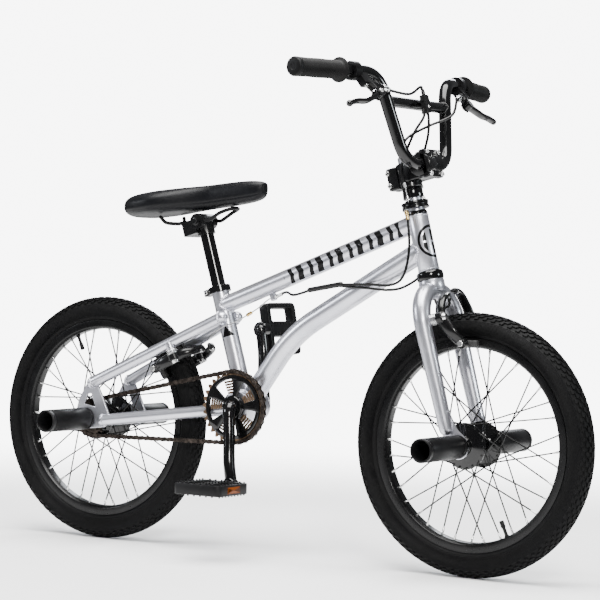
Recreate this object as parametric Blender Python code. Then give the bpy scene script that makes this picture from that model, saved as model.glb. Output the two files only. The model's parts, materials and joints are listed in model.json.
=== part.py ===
"""Freestyle bike with 18 inch wheels, in metres. +X forward, +Y to the rider's left, +Z up.

The origin is on the ground, under the middle of the wheelbase.
"""
import math

import bmesh
import bpy
from mathutils import Matrix, Vector

# Driving dimensions
WHEELBASE = 0.789
WHEEL_RADIUS = 0.2275
TYRE_SECTION = 0.0235
RIM_INNER_RADIUS = 0.1668
RIM_HALF_WIDTH = 0.014
SPOKES_PER_WHEEL = 36
FLANGE_RADIUS = 0.040
FLANGE_OFFSET = 0.030
AXLE_RADIUS = 0.007
FRONT_HUB_HALF = 0.050
REAR_HUB_HALF = 0.055
DROPOUT_THICKNESS = 0.005
PEG_END = 0.182
PEG_RADIUS = 0.0205
HEAD_ANGLE = math.radians(74.5)
FORK_RAKE = 0.015
HEAD_TUBE_FROM = 0.306
HEAD_TUBE_TO = 0.406
HEAD_TUBE_RADIUS = 0.0185
STEERER_RADIUS = 0.0143
SEAT_ANGLE = math.radians(72.4)
SEAT_TUBE_RADIUS = 0.0159
SEAT_TUBE_LENGTH = 0.226
SEAT_POST_RADIUS = 0.0127
TOP_TUBE_RADIUS = 0.0159
DOWN_TUBE_RADIUS = 0.019
STAY_RADIUS = 0.0111
TUBE_WALL = 0.002
BRACKET = Vector((-0.0745, 0, 0.2667))
SHELL_RADIUS = 0.0285
SHELL_HALF = 0.034
CHAIN_PITCH = 0.0127
SPROCKET_TEETH = 32
COG_TEETH = 16
CHAIN_LINE = -0.042
CRANK_LENGTH = 0.140
CRANK_LEAN = math.radians(11.5)
PEDAL_CENTRE = 0.147
PEDAL_SIZE = (0.098, 0.096, 0.022)
BAR_RADIUS = 0.0111
BAR_CLAMP = Vector((0.2865, 0, 0.7065))
GRIP_END = 0.3257
GRIP_LENGTH = 0.116
GRIP_RADIUS = 0.0165
CABLE_RADIUS = 0.0024
GAP = 0.0003

REAR_AXLE = Vector((-WHEELBASE / 2, 0, WHEEL_RADIUS))
FRONT_AXLE = Vector((WHEELBASE / 2, 0, WHEEL_RADIUS))
STEER_UP = Vector((-math.cos(HEAD_ANGLE), 0, math.sin(HEAD_ANGLE)))
STEER_FORWARD = Vector((math.sin(HEAD_ANGLE), 0, math.cos(HEAD_ANGLE)))
STEER_FOOT = FRONT_AXLE - Vector((FORK_RAKE, 0, 0))
SEAT_UP = Vector((-math.cos(SEAT_ANGLE), 0, math.sin(SEAT_ANGLE)))
SEAT_FORWARD = Vector((math.sin(SEAT_ANGLE), 0, math.cos(SEAT_ANGLE)))
SIDEWAYS = Vector((0, 1, 0))
SIDES = (("left", 1), ("right", -1))


def on_steerer(along, forward=0.0, side=0.0):
    """A point given along the steering axis, in front of it and to the left of it."""
    return STEER_FOOT + STEER_UP * along + STEER_FORWARD * forward + SIDEWAYS * side


def on_seat_tube(along, forward=0.0, side=0.0):
    """A point given along the seat tube from the bottom bracket."""
    return BRACKET + SEAT_UP * along + SEAT_FORWARD * forward + SIDEWAYS * side


# Materials
def finish(name, colour, roughness, metallic=0.0):
    made = bpy.data.materials.new(name)
    made.use_nodes = True
    shader = made.node_tree.nodes["Principled BSDF"]
    shader.inputs["Base Color"].default_value = (*colour, 1.0)
    shader.inputs["Roughness"].default_value = roughness
    shader.inputs["Metallic"].default_value = metallic
    return made


for stale in list(bpy.data.objects):
    bpy.data.objects.remove(stale)

SILVER = finish("silver_paint", (0.62, 0.62, 0.66), 0.35, 0.7)
BLACK = finish("gloss_black", (0.012, 0.012, 0.013), 0.25)
SATIN = finish("satin_black", (0.015, 0.015, 0.016), 0.5)
RUBBER = finish("tyre_rubber", (0.012, 0.012, 0.013), 0.8)
GRIP_RUBBER = finish("grip_rubber", (0.015, 0.015, 0.016), 0.65)
VINYL = finish("saddle_vinyl", (0.014, 0.014, 0.016), 0.4)
STEEL = finish("bright_steel", (0.6, 0.6, 0.6), 0.3, 1.0)
BRONZE = finish("bronze_plate", (0.24, 0.16, 0.10), 0.4, 0.9)
CHAIN_METAL = finish("chain_steel", (0.06, 0.045, 0.04), 0.4, 0.9)
PLASTIC = finish("cable_plastic", (0.012, 0.012, 0.012), 0.4)


# Shape tools
def bake(thing):
    """Replace an object by a plain mesh object of its evaluated shape, in world space."""
    graph = bpy.context.evaluated_depsgraph_get()
    mesh = bpy.data.meshes.new_from_object(thing.evaluated_get(graph))
    mesh.transform(thing.matrix_world)
    name = thing.name
    bpy.data.objects.remove(thing)
    return as_object(name, mesh)


def as_object(name, mesh):
    made = bpy.data.objects.new(name, mesh)
    bpy.context.collection.objects.link(made)
    bpy.context.view_layer.update()
    return made


def from_bmesh(name, shape):
    bmesh.ops.recalc_face_normals(shape, faces=shape.faces)
    mesh = bpy.data.meshes.new(name)
    shape.to_mesh(mesh)
    shape.free()
    return as_object(name, mesh)


def combine(target, other, operation):
    change = target.modifiers.new("change", "BOOLEAN")
    change.operation = operation
    change.solver = "EXACT"
    change.object = other
    result = bake(target)
    bpy.data.objects.remove(other)
    return result


def cut(target, *cutters):
    for cutter in cutters:
        target = combine(target, cutter, "DIFFERENCE")
    return target


def weld(target, *others):
    for other in others:
        target = combine(target, other, "UNION")
    return target


def keep(thing, name, material, origin=Vector((0, 0, 0))):
    """Give a finished piece its name, its material and its origin."""
    thing.name = name
    thing.data.name = name
    thing.data.materials.clear()
    thing.data.materials.append(material)
    thing.data.transform(Matrix.Translation(-origin))
    thing.location = origin
    thing.data.shade_smooth()
    thing.data.set_sharp_from_angle(angle=math.radians(35))
    return thing


def rod(points, radius, resolution=6, tapers=None):
    """A round bar along points; resolution 6 gives 16 sides."""
    curve = bpy.data.curves.new("rod", "CURVE")
    curve.dimensions = "3D"
    curve.bevel_depth = radius
    curve.bevel_resolution = resolution
    curve.use_fill_caps = True
    spline = curve.splines.new("POLY")
    spline.points.add(len(points) - 1)
    for index, point in enumerate(points):
        spline.points[index].co = (*point, 1.0)
        spline.points[index].radius = tapers[index] if tapers else 1.0
    made = bake(as_object("rod", curve))
    shape = bmesh.new()
    shape.from_mesh(made.data)
    bpy.data.objects.remove(made)
    bmesh.ops.remove_doubles(shape, verts=shape.verts, dist=1e-6)
    return from_bmesh("rod", shape)


def stretched(points, extra):
    """The same route, run on past both ends."""
    first = points[0] + (points[0] - points[1]).normalized() * extra
    last = points[-1] + (points[-1] - points[-2]).normalized() * extra
    return [first, *points[1:-1], last]


def pipe(points, radius, wall=TUBE_WALL, sides=16):
    """A tube that is open at both ends, along a route that never runs sideways."""
    shape = bmesh.new()
    outer = []
    inner = []
    for index, point in enumerate(points):
        tangent = (points[min(index + 1, len(points) - 1)] - points[max(index - 1, 0)]).normalized()
        across = (SIDEWAYS - tangent * SIDEWAYS.dot(tangent)).normalized()
        up = tangent.cross(across)
        turns = [math.tau * (step + 0.5) / sides for step in range(sides)]
        ways = [across * math.cos(turn) + up * math.sin(turn) for turn in turns]
        outer.append([shape.verts.new(point + way * radius) for way in ways])
        inner.append([shape.verts.new(point + way * (radius - wall)) for way in ways])
    walls = list(zip(outer, outer[1:])) + list(zip(inner, inner[1:]))
    walls += [(outer[0], inner[0]), (outer[-1], inner[-1])]
    for first, second in walls:
        for step in range(sides):
            shape.faces.new((first[step - 1], first[step], second[step], second[step - 1]))
    return from_bmesh("pipe", shape)


def rounded(corners, reach, steps=5):
    """A route through corners, each turned into a smooth bend that starts reach before it."""
    route = [corners[0]]
    for before, corner, after in zip(corners, corners[1:], corners[2:]):
        start = corner + (before - corner).normalized() * reach
        end = corner + (after - corner).normalized() * reach
        for step in range(steps + 1):
            t = step / steps
            route.append(start * (1 - t) ** 2 + corner * 2 * t * (1 - t) + end * t ** 2)
    route.append(corners[-1])
    return route


def smooth_route(corners, count):
    """Points on a Catmull-Rom curve through the corners, count to each stretch."""
    ends = [corners[0] * 2 - corners[1], *corners, corners[-1] * 2 - corners[-2]]
    route = []
    for a, b, c, d in zip(ends, ends[1:], ends[2:], ends[3:]):
        for step in range(count):
            t = step / count
            route.append(0.5 * (b * 2 + (c - a) * t + (a * 2 - b * 5 + c * 4 - d) * t ** 2
                                + (b * 3 - a - c * 3 + d) * t ** 3))
    route.append(corners[-1])
    return route


def turned(profile, centre, axis=SIDEWAYS, steps=20):
    """A closed outline of (radius, height along axis) pairs, turned a full circle."""
    shape = bmesh.new()
    corners = [shape.verts.new((radius, 0, height)) for radius, height in profile]
    edges = [shape.edges.new((corners[i - 1], corners[i])) for i in range(len(corners))]
    bmesh.ops.spin(shape, geom=corners + edges, cent=(0, 0, 0), axis=(0, 0, 1), angle=math.tau,
                   steps=steps, use_merge=True)
    bmesh.ops.remove_doubles(shape, verts=shape.verts, dist=1e-6)
    loose = [edge for edge in shape.edges if not edge.link_faces]
    bmesh.ops.delete(shape, geom=loose, context="EDGES")
    bmesh.ops.transform(shape, matrix=upright_to(axis, centre), verts=shape.verts)
    return from_bmesh("turned", shape)


def upright_to(axis, centre):
    """The placement that turns +Z to axis, keeping +X as near to forward as it can."""
    up = axis.normalized()
    ahead = Vector((1, 0, 0)) if abs(up.x) < 0.9 else Vector((0, 0, 1))
    across = up.cross(ahead).normalized()
    ahead = across.cross(up)
    return Matrix.Translation(centre) @ Matrix((ahead, across, up)).transposed().to_4x4()


def ring(outer, inner, low, high, centre, axis=SIDEWAYS, steps=20):
    return turned([(inner, low), (outer, low), (outer, high), (inner, high)], centre, axis, steps)


def disc(radius, low, high, centre, axis=SIDEWAYS, steps=20):
    shape = bmesh.new()
    place = upright_to(axis, centre) @ Matrix.Translation((0, 0, (low + high) / 2))
    bmesh.ops.create_cone(shape, cap_ends=True, segments=steps, radius1=radius, radius2=radius,
                          depth=high - low, matrix=place)
    return from_bmesh("disc", shape)


def round_cutter(radius, low, high, centre, axis=SIDEWAYS):
    """A round cutter a little clear of a piece of this radius, with its edges off the planes of symmetry."""
    shape = bmesh.new()
    turn = Matrix.Rotation(math.radians(4.0), 4, "Z")
    place = upright_to(axis, centre) @ Matrix.Translation((0, 0, (low + high) / 2)) @ turn
    clear = radius + 2 * GAP
    bmesh.ops.create_cone(shape, cap_ends=True, segments=26, radius1=clear, radius2=clear, depth=high - low,
                          matrix=place)
    return from_bmesh("round_cutter", shape)


def plate(outline, low, high, place):
    """A flat outline of (x, y) pairs, pulled up from height low to height high."""
    shape = bmesh.new()
    corners = [shape.verts.new((x, y, low)) for x, y in outline]
    face = shape.faces.new(corners)
    pulled = bmesh.ops.extrude_face_region(shape, geom=[face])
    moved = [item for item in pulled["geom"] if isinstance(item, bmesh.types.BMVert)]
    bmesh.ops.translate(shape, vec=(0, 0, high - low), verts=moved)
    bmesh.ops.transform(shape, matrix=place, verts=shape.verts)
    return from_bmesh("plate", shape)


def block(centre, size, ahead=Vector((1, 0, 0)), up=Vector((0, 0, 1))):
    """A box whose length runs along ahead and whose height runs along up."""
    shape = bmesh.new()
    turn = Matrix((ahead, up.cross(ahead), up)).transposed().to_4x4()
    place = Matrix.Translation(centre) @ turn @ Matrix.Diagonal((*size, 1))
    bmesh.ops.create_cube(shape, size=1, matrix=place)
    return from_bmesh("block", shape)


def side_plate(outline, side, inner, thickness):
    """A plate in a plane of constant Y; its outline is in (x, z)."""
    low, high = sorted((side * inner, side * (inner + thickness)))
    turn = Matrix(((1, 0, 0, 0), (0, 0, 1, 0), (0, 1, 0, 0), (0, 0, 0, 1)))
    return plate(outline, low, high, turn)


# Frame
TOP_TUBE_ROUTE = [Vector((-0.1319, 0, 0.4471)), Vector((0.2742, 0, 0.6073))]
DOWN_TUBE_ROUTE = rounded([BRACKET + Vector((0.012, 0, 0.0168)), Vector((0.0214, 0, 0.401)),
                          Vector((0.2795, 0, 0.5558))], 0.055, 5)
SEAT_TUBE_ROUTE = [on_seat_tube(0.026), on_seat_tube(SEAT_TUBE_LENGTH)]
CABLE_STOP = Vector((-0.0238, 0, 0.4655))
STAY_Y = REAR_HUB_HALF + DROPOUT_THICKNESS / 2
REAR_DROPOUT = [(-0.352, 0.2135), (-0.405, 0.2075), (-0.418, 0.213), (-0.421, 0.230), (-0.413, 0.262),
                (-0.392, 0.298), (-0.376, 0.301), (-0.357, 0.268), (-0.343, 0.240), (-0.341, 0.226)]


def seat_stay_route(side):
    return [Vector((-0.3830, side * STAY_Y, 0.2950)), Vector((-0.1180, side * 0.0240, 0.4267))]


def chain_stay_route(side):
    return [Vector((-0.3560, side * STAY_Y, 0.2265)), Vector((-0.0745, side * 0.0200, 0.2640))]


def brake_boss(side, pivot, outward):
    return disc(0.0075, -0.014, 0.009, pivot, outward, 12)


def head_cutter():
    return round_cutter(HEAD_TUBE_RADIUS, 0.26, 0.45, STEER_FOOT, STEER_UP)


def seat_cutter():
    return round_cutter(SEAT_TUBE_RADIUS, 0.005, SEAT_TUBE_LENGTH + 0.02, BRACKET, SEAT_UP)


def shell_cutter():
    return round_cutter(SHELL_RADIUS, -0.06, 0.06, BRACKET)


def make_frame():
    head = ring(HEAD_TUBE_RADIUS, HEAD_TUBE_RADIUS - 0.0025, HEAD_TUBE_FROM, HEAD_TUBE_TO,
                STEER_FOOT, STEER_UP)
    keep(head, "head_tube", SILVER)
    shell = ring(SHELL_RADIUS, SHELL_RADIUS - 0.003, -SHELL_HALF, SHELL_HALF, BRACKET, SIDEWAYS, 28)
    keep(shell, "bottom_bracket_shell", SILVER)
    seat = pipe(SEAT_TUBE_ROUTE, SEAT_TUBE_RADIUS, 0.0029)
    seat = cut(seat, shell_cutter())
    keep(seat, "seat_tube", SILVER)
    top = cut(pipe(TOP_TUBE_ROUTE, TOP_TUBE_RADIUS), head_cutter(), seat_cutter())
    along = (TOP_TUBE_ROUTE[1] - TOP_TUBE_ROUTE[0]).normalized()
    stop = block(CABLE_STOP + Vector((0, 0, 0.0035)), (0.010, 0.0090, 0.0170), along, along.cross(-SIDEWAYS))
    top = cut(weld(top, stop), disc(0.0024, -0.02, 0.02, CABLE_STOP, along, 8))
    keep(top, "top_tube", SILVER)
    down = pipe(DOWN_TUBE_ROUTE, DOWN_TUBE_RADIUS)
    down = cut(down, head_cutter(), shell_cutter(), seat_cutter())
    keep(down, "down_tube", SILVER)


def make_stays():
    for name, side in SIDES:
        dropout = side_plate(REAR_DROPOUT, side, REAR_HUB_HALF, DROPOUT_THICKNESS)
        slot_height = AXLE_RADIUS * 2 + 2 * GAP
        slot = block(REAR_AXLE + Vector((-0.020, side * STAY_Y, 0)), (0.040, 0.02, slot_height))
        slot_end = disc(slot_height / 2, -0.08, 0.08, REAR_AXLE, SIDEWAYS, 16)
        window = side_plate([(-0.400, 0.2545), (-0.374, 0.2505), (-0.384, 0.2745), (-0.3935, 0.2735)],
                            side, REAR_HUB_HALF - 0.01, 0.03)
        dropout = cut(dropout, slot, slot_end, window)
        keep(dropout, f"{name}_dropout", SILVER)
        plate_gap = 0.0006
        widened = [(x + 0.002 * math.copysign(1, x + 0.38), z + 0.002 * math.copysign(1, z - 0.25))
                   for x, z in REAR_DROPOUT]
        for kind, route in (("seat_stay", seat_stay_route(side)), ("chain_stay", chain_stay_route(side))):
            tube = pipe(route, STAY_RADIUS, 0.0016, 12)
            tube = cut(tube, side_plate(widened, side, REAR_HUB_HALF - plate_gap,
                                        DROPOUT_THICKNESS + 2 * plate_gap))
            if kind == "seat_stay":
                along = (TOP_TUBE_ROUTE[1] - TOP_TUBE_ROUTE[0]).normalized()
                tube = cut(tube, seat_cutter(),
                           round_cutter(TOP_TUBE_RADIUS, -0.03, 0.20, TOP_TUBE_ROUTE[0], along))
                tube = weld(tube, brake_boss(side, rear_pivot(side), REAR_BRAKE_OUT))
            else:
                tube = cut(tube, shell_cutter(), seat_cutter())
            keep(tube, f"{name}_{kind}", SILVER)


# Steering: headset, fork, stem and handlebar
FORK_LEG_SIDE = 0.060
FORK_FOOT = 0.030


def make_headset():
    lower = turned([(STEERER_RADIUS + GAP, 0.2905), (0.0230, 0.2905), (0.0235, 0.2955), (0.0235, 0.3010),
                    (0.0215, 0.3057), (STEERER_RADIUS + GAP, 0.3057)], STEER_FOOT, STEER_UP)
    keep(lower, "headset_lower_cup", BLACK)
    upper = turned([(STEERER_RADIUS + GAP, 0.4063), (0.0184, 0.4063), (0.0184, 0.4093), (0.0170, 0.4133),
                    (STEERER_RADIUS + GAP, 0.4133)], STEER_FOOT, STEER_UP)
    keep(upper, "headset_upper_cup", BLACK)


def fork_route(reach=0.0):
    half = [on_steerer(FORK_FOOT - reach, 0.002, FORK_LEG_SIDE), on_steerer(0.19, 0, FORK_LEG_SIDE),
            on_steerer(0.225, 0, FORK_LEG_SIDE - 0.002), on_steerer(0.248, 0, 0.049),
            on_steerer(0.264, 0, 0.033), on_steerer(0.270, 0, 0.016)]
    mirror = [Vector((p.x, -p.y, p.z)) for p in reversed(half)]
    return half + [on_steerer(0.271)] + mirror


def make_fork():
    tapers = [0.80, 1.0, 1.05, 1.08, 1.08, 1.08]
    tapers = tapers + [1.08] + tapers[::-1]
    fork = rod(fork_route(), 0.0148, 3, tapers)
    steerer = disc(STEERER_RADIUS, 0.262, 0.510, STEER_FOOT, STEER_UP, 16)
    race = disc(0.0225, 0.2700, 0.2900, STEER_FOOT, STEER_UP, 16)
    fork = weld(fork, steerer, race)
    bore = disc(STEERER_RADIUS - 0.0025, 0.262, 0.530, STEER_FOOT, STEER_UP, 12)
    cable_hole = disc(0.0045, 0.240, 0.270, STEER_FOOT, STEER_UP, 8)
    fork = cut(fork, rod(fork_route(0.02), 0.0148 - 0.0022, 1, tapers), bore, cable_hole)
    outline = [(-0.010, 0.060), (0.010, 0.060), (0.019, 0.024), (0.031, 0.008), (0.032, -0.012),
               (0.024, -0.025), (0.007, -0.026), (-0.003, -0.014), (-0.010, 0.010)]
    turn = Matrix((STEER_FORWARD, STEER_UP, Vector((0, -1, 0)))).transposed().to_4x4()
    for name, side in SIDES:
        low, high = sorted((-side * FRONT_HUB_HALF, -side * (FRONT_HUB_HALF + DROPOUT_THICKNESS)))
        tip = plate(outline, low, high, Matrix.Translation(STEER_FOOT) @ turn)
        fork = weld(fork, tip)
        fork = weld(fork, brake_boss(side, front_pivot(side), STEER_FORWARD))
    slot_size = (AXLE_RADIUS * 2 + 2 * GAP, 0.2, 0.050)
    slot = block(FRONT_AXLE - STEER_UP * 0.025, slot_size, STEER_FORWARD, STEER_UP)
    fork = cut(fork, slot, disc(AXLE_RADIUS + GAP, -0.1, 0.1, FRONT_AXLE, SIDEWAYS, 16))
    keep(fork, "fork", SILVER, on_steerer(HEAD_TUBE_FROM))


STEM_FROM = 0.455
STEM_TO = 0.499
BAR_ALONG = (BAR_CLAMP - STEER_FOOT).dot(STEER_UP)
BAR_FORWARD = (BAR_CLAMP - STEER_FOOT).dot(STEER_FORWARD)


def make_stem():
    stem = disc(0.0200, STEM_FROM, STEM_TO, STEER_FOOT, STEER_UP)
    neck = block(on_steerer(BAR_ALONG - 0.006, BAR_FORWARD / 2 + 0.002), (BAR_FORWARD, 0.046, 0.034),
                 STEER_FORWARD, STEER_UP)
    middle = (STEM_FROM + STEM_TO) / 2
    lug = block(on_steerer(middle, -0.025), (0.022, 0.034, 0.040), STEER_FORWARD, STEER_UP)
    saddle = disc(0.0205, -0.026, 0.026, BAR_CLAMP)
    stem = weld(stem, neck, lug, saddle)
    split = block(BAR_CLAMP + STEER_FORWARD * (0.020 + 0.0005), (0.040, 0.08, 0.08), STEER_FORWARD, STEER_UP)
    stem = cut(stem, disc(STEERER_RADIUS + GAP, 0.40, 0.55, STEER_FOOT, STEER_UP),
               disc(BAR_RADIUS + GAP, -0.05, 0.05, BAR_CLAMP, SIDEWAYS, 16), split,
               block(on_steerer(middle, -0.033), (0.036, 0.003, 0.08), STEER_FORWARD, STEER_UP))
    keep(stem, "stem", BLACK, on_steerer(HEAD_TUBE_FROM))
    cap = weld(disc(0.0205, -0.026, 0.026, BAR_CLAMP),
               block(BAR_CLAMP + STEER_FORWARD * 0.006, (0.018, 0.052, 0.050), STEER_FORWARD, STEER_UP))
    behind = block(BAR_CLAMP - STEER_FORWARD * 0.020, (0.042, 0.08, 0.08), STEER_FORWARD, STEER_UP)
    cap = cut(cap, behind, disc(BAR_RADIUS + GAP, -0.05, 0.05, BAR_CLAMP, SIDEWAYS, 16))
    keep(cap, "stem_face_plate", BLACK, on_steerer(HEAD_TUBE_FROM))
    spacer = ring(0.0185, STEERER_RADIUS + GAP, 0.4365, STEM_FROM - GAP, STEER_FOOT, STEER_UP)
    keep(spacer, "headset_spacer", BLACK, on_steerer(HEAD_TUBE_FROM))


BAR_LOWER_CORNER = Vector((0.2845, 0.0720, 0.7095))
BAR_UPPER_CORNER = Vector((0.2515, 0.1160, 0.8575))
BAR_END = Vector((0.2165, GRIP_END - 0.003, 0.8524))
GRIP_AXIS = (BAR_END - BAR_UPPER_CORNER).normalized()


def mirrored(point, side):
    return Vector((point.x, point.y * side, point.z))


def bar_route():
    half = [BAR_END, BAR_UPPER_CORNER, BAR_LOWER_CORNER, BAR_CLAMP + SIDEWAYS * 0.030]
    upper = rounded(half[:3], 0.038, 3)
    lower = rounded([upper[-2], *half[2:]], 0.034, 3)
    left = upper[:-1] + lower[1:]
    return left + [mirrored(p, -1) for p in reversed(left)]


def make_handlebar():
    bar = rod(bar_route(), BAR_RADIUS, 3)
    level = 0.811
    reach = (level - BAR_LOWER_CORNER.z) / (BAR_UPPER_CORNER.z - BAR_LOWER_CORNER.z)
    tie = BAR_LOWER_CORNER.lerp(BAR_UPPER_CORNER, reach)
    bar = weld(bar, rod([tie, mirrored(tie, -1)], 0.0098, 2))
    bar = cut(bar, rod(stretched(bar_route(), 0.02), BAR_RADIUS - 0.0022, 1))
    keep(bar, "handlebar", BLACK, on_steerer(HEAD_TUBE_FROM))
    for name, side in SIDES:
        axis = mirrored(GRIP_AXIS, side)
        end = mirrored(BAR_END, side) + axis * 0.003
        outline = [(BAR_RADIUS + GAP, -GRIP_LENGTH), (0.0215, -GRIP_LENGTH), (0.0215, -GRIP_LENGTH + 0.004),
                   (GRIP_RADIUS - 0.001, -GRIP_LENGTH + 0.006), (GRIP_RADIUS, -0.012),
                   (GRIP_RADIUS, -0.003), (GRIP_RADIUS - 0.003, 0), (0, 0), (0, -0.0027),
                   (BAR_RADIUS + GAP, -0.0027)]
        grip = turned(outline, end, axis, 16)
        keep(grip, f"{name}_grip", GRIP_RUBBER, on_steerer(HEAD_TUBE_FROM))


# Brake levers
LEVER_CLAMP_Y = 0.180
LEVER_OUT = Vector((0.665, 0, -0.747)).normalized()


def lever_frame(side):
    """Clamp centre on the bar, the outward direction along it, and the way the lever stands off it."""
    along = mirrored(GRIP_AXIS, side)
    centre = mirrored(BAR_UPPER_CORNER.lerp(BAR_END, (LEVER_CLAMP_Y - BAR_UPPER_CORNER.y)
                                            / (BAR_END.y - BAR_UPPER_CORNER.y)), side)
    out = (LEVER_OUT - along * LEVER_OUT.dot(along)).normalized()
    return centre, along, out


def lever_pivot(side):
    centre, along, out = lever_frame(side)
    return centre - along * 0.030 + out * 0.050


def nozzle_way(side):
    """The direction in which a lever's cable leaves it."""
    centre, along, out = lever_frame(side)
    return (-along * 0.040 + out * 0.012).normalized()


def nozzle_end(side):
    centre, along, out = lever_frame(side)
    return centre - along * 0.060 + out * 0.038 + nozzle_way(side) * 0.0020


def make_levers():
    for name, side in SIDES:
        centre, along, out = lever_frame(side)
        pin_axis = along.cross(out)
        pivot = lever_pivot(side)
        bracket = disc(0.0165, -0.008, 0.008, centre, along, 16)
        body = block(centre - along * 0.014 + out * 0.018, (0.020, 0.014, 0.026), along, out)
        ear = rod([centre - along * 0.018 + out * 0.024, pivot], 0.0075, 3)
        nozzle = rod([centre - along * 0.016 + out * 0.0248, centre - along * 0.060 + out * 0.038], 0.0058, 2)
        bracket = weld(bracket, body, ear, nozzle, disc(0.0095, -0.008, 0.008, pivot, pin_axis, 12))
        bracket = cut(bracket, disc(BAR_RADIUS + GAP, -0.05, 0.05, centre, along, 16),
                      disc(0.0125, -0.0060, 0.0060, pivot, pin_axis, 12))
        keep(bracket, f"{name}_lever_bracket", BLACK, on_steerer(HEAD_TUBE_FROM))
        bends = ((0, 0), (0.022, 0.010), (0.052, 0.022), (0.082, 0.024), (0.106, 0.032))
        blade = rod(smooth_route([pivot + along * reach + out * off for reach, off in bends], 2), 0.0052, 3)
        eye = disc(0.0088, -0.0055, 0.0055, pivot, pin_axis, 12)
        keep(weld(eye, blade), f"{name}_brake_lever", BLACK, pivot)


# Brake arms: pivots, pads and the arms that cross over the tyre
REAR_BRAKE_UP = Vector((0.895, 0, 0.446)).normalized()
REAR_BRAKE_OUT = Vector((REAR_BRAKE_UP.z, 0, -REAR_BRAKE_UP.x))
PIVOT_SIDE = 0.044
PAD_TRACK_RADIUS = 0.1745
PAD_GAP = 0.0022


def front_pivot(side):
    return on_steerer(0.2160, 0.0170, side * 0.052)


def rear_pivot(side):
    return Vector((-0.2200, side * PIVOT_SIDE, 0.3745)) + REAR_BRAKE_OUT * 0.012


def make_brake(place, pivot_of, up, out, axle, pad_angle):
    rim_point = axle + Vector((math.cos(pad_angle), 0, math.sin(pad_angle))) * PAD_TRACK_RADIUS
    tangent = Vector((-math.sin(pad_angle), 0, math.cos(pad_angle)))
    radial = Vector((math.cos(pad_angle), 0, math.sin(pad_angle)))
    for name, side in SIDES:
        pivot = pivot_of(side)
        eye_centre = pivot + out * 0.0155
        eye = disc(0.0115, -0.006, 0.006, eye_centre, out, 12)
        pad_face = RIM_HALF_WIDTH + PAD_GAP
        pad_back = rim_point + SIDEWAYS * side * (pad_face + 0.011)
        holder = rim_point + SIDEWAYS * side * (pad_face + 0.024)
        lower = rod(smooth_route([eye_centre, eye_centre * 0.45 + holder * 0.55 + SIDEWAYS * side * 0.006,
                                  holder], 2), 0.0062, 2)
        stud = rod([holder + SIDEWAYS * side * 0.008, pad_back], 0.0050, 2)
        pad = block(rim_point + SIDEWAYS * side * (pad_face + 0.006), (0.040, 0.012, 0.011), tangent, radial)
        drop = 0.004 if side > 0 else -0.004
        upper_route = [eye_centre, eye_centre + up * 0.020 - SIDEWAYS * side * 0.006,
                       eye_centre + up * (0.038 + drop) - SIDEWAYS * side * 0.020,
                       eye_centre + up * (0.044 + drop) - SIDEWAYS * side * 0.036]
        upper = rod(smooth_route(upper_route, 2), 0.0058, 2)
        arm = weld(eye, lower, stud, pad, upper)
        arm = cut(arm, disc(0.0078, -0.0185, 0.0095, pivot, out, 12))
        keep(arm, f"{place}_brake_{name}_arm", BLACK, pivot)


# Wheels
def rim_outline():
    top = WHEEL_RADIUS - 2 * TYRE_SECTION + 0.0035
    w = RIM_HALF_WIDTH
    low = RIM_INNER_RADIUS
    return [(low, -w * 0.55), (low + 0.004, -w), (top, -w), (low + 0.007, -w + 0.004),
            (low + 0.007, w - 0.004), (top, w), (low + 0.004, w), (low, w * 0.55)]


def tyre_outline():
    """A horseshoe section: round outside, hollow inside, open towards the rim."""
    centre = WHEEL_RADIUS - TYRE_SECTION
    opening = math.radians(152)
    outer = []
    inner = []
    for step in range(9):
        angle = -opening + 2 * opening * step / 8
        outer.append((centre + TYRE_SECTION * math.cos(angle), TYRE_SECTION * math.sin(angle)))
    for step in range(4):
        angle = opening - 2 * opening * step / 3
        bore = TYRE_SECTION - 0.0045
        inner.append((centre + bore * math.cos(angle), bore * math.sin(angle) * 0.97))
    return outer + inner


def make_wheel(name, axle, half_width):
    segments = 36
    keep(turned(tyre_outline(), axle, SIDEWAYS, segments), f"{name}_tyre", RUBBER, axle)
    keep(turned(rim_outline(), axle, SIDEWAYS, segments), f"{name}_rim", BLACK, axle)
    bore = AXLE_RADIUS + GAP
    end = half_width - 0.0100
    flange = FLANGE_OFFSET
    outline = [(bore, -end), (0.016, -end), (0.0165, -flange - 0.005), (FLANGE_RADIUS, -flange - 0.002),
               (FLANGE_RADIUS, -flange + 0.002), (0.020, -flange + 0.005), (0.019, flange - 0.005),
               (FLANGE_RADIUS, flange - 0.002), (FLANGE_RADIUS, flange + 0.002), (0.0165, flange + 0.005),
               (0.016, end), (bore, end)]
    hub = turned(outline, axle, SIDEWAYS, 16)
    for spoke in range(SPOKES_PER_WHEEL):
        hub = weld(hub, spoke_rod(spoke, axle))
    keep(hub, f"{name}_hub", BLACK, axle)


def spoke_rod(index, axle):
    """One spoke: sides take turns, and every other spoke of a side leans the other way."""
    side = 1 if index % 2 else -1
    leaning = 1 if (index // 2) % 2 else -1
    rim_angle = math.tau * index / SPOKES_PER_WHEEL
    hub_angle = rim_angle + leaning * math.radians(62)
    start_radius = FLANGE_RADIUS - 0.0035
    start = Vector((math.cos(hub_angle) * start_radius, side * (FLANGE_OFFSET + leaning * 0.0013),
                    math.sin(hub_angle) * start_radius))
    end_radius = RIM_INNER_RADIUS - 0.0015
    end = Vector((math.cos(rim_angle) * end_radius, side * 0.004, math.sin(rim_angle) * end_radius))
    return rod([axle + start, axle + end], 0.0010, 0)


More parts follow.
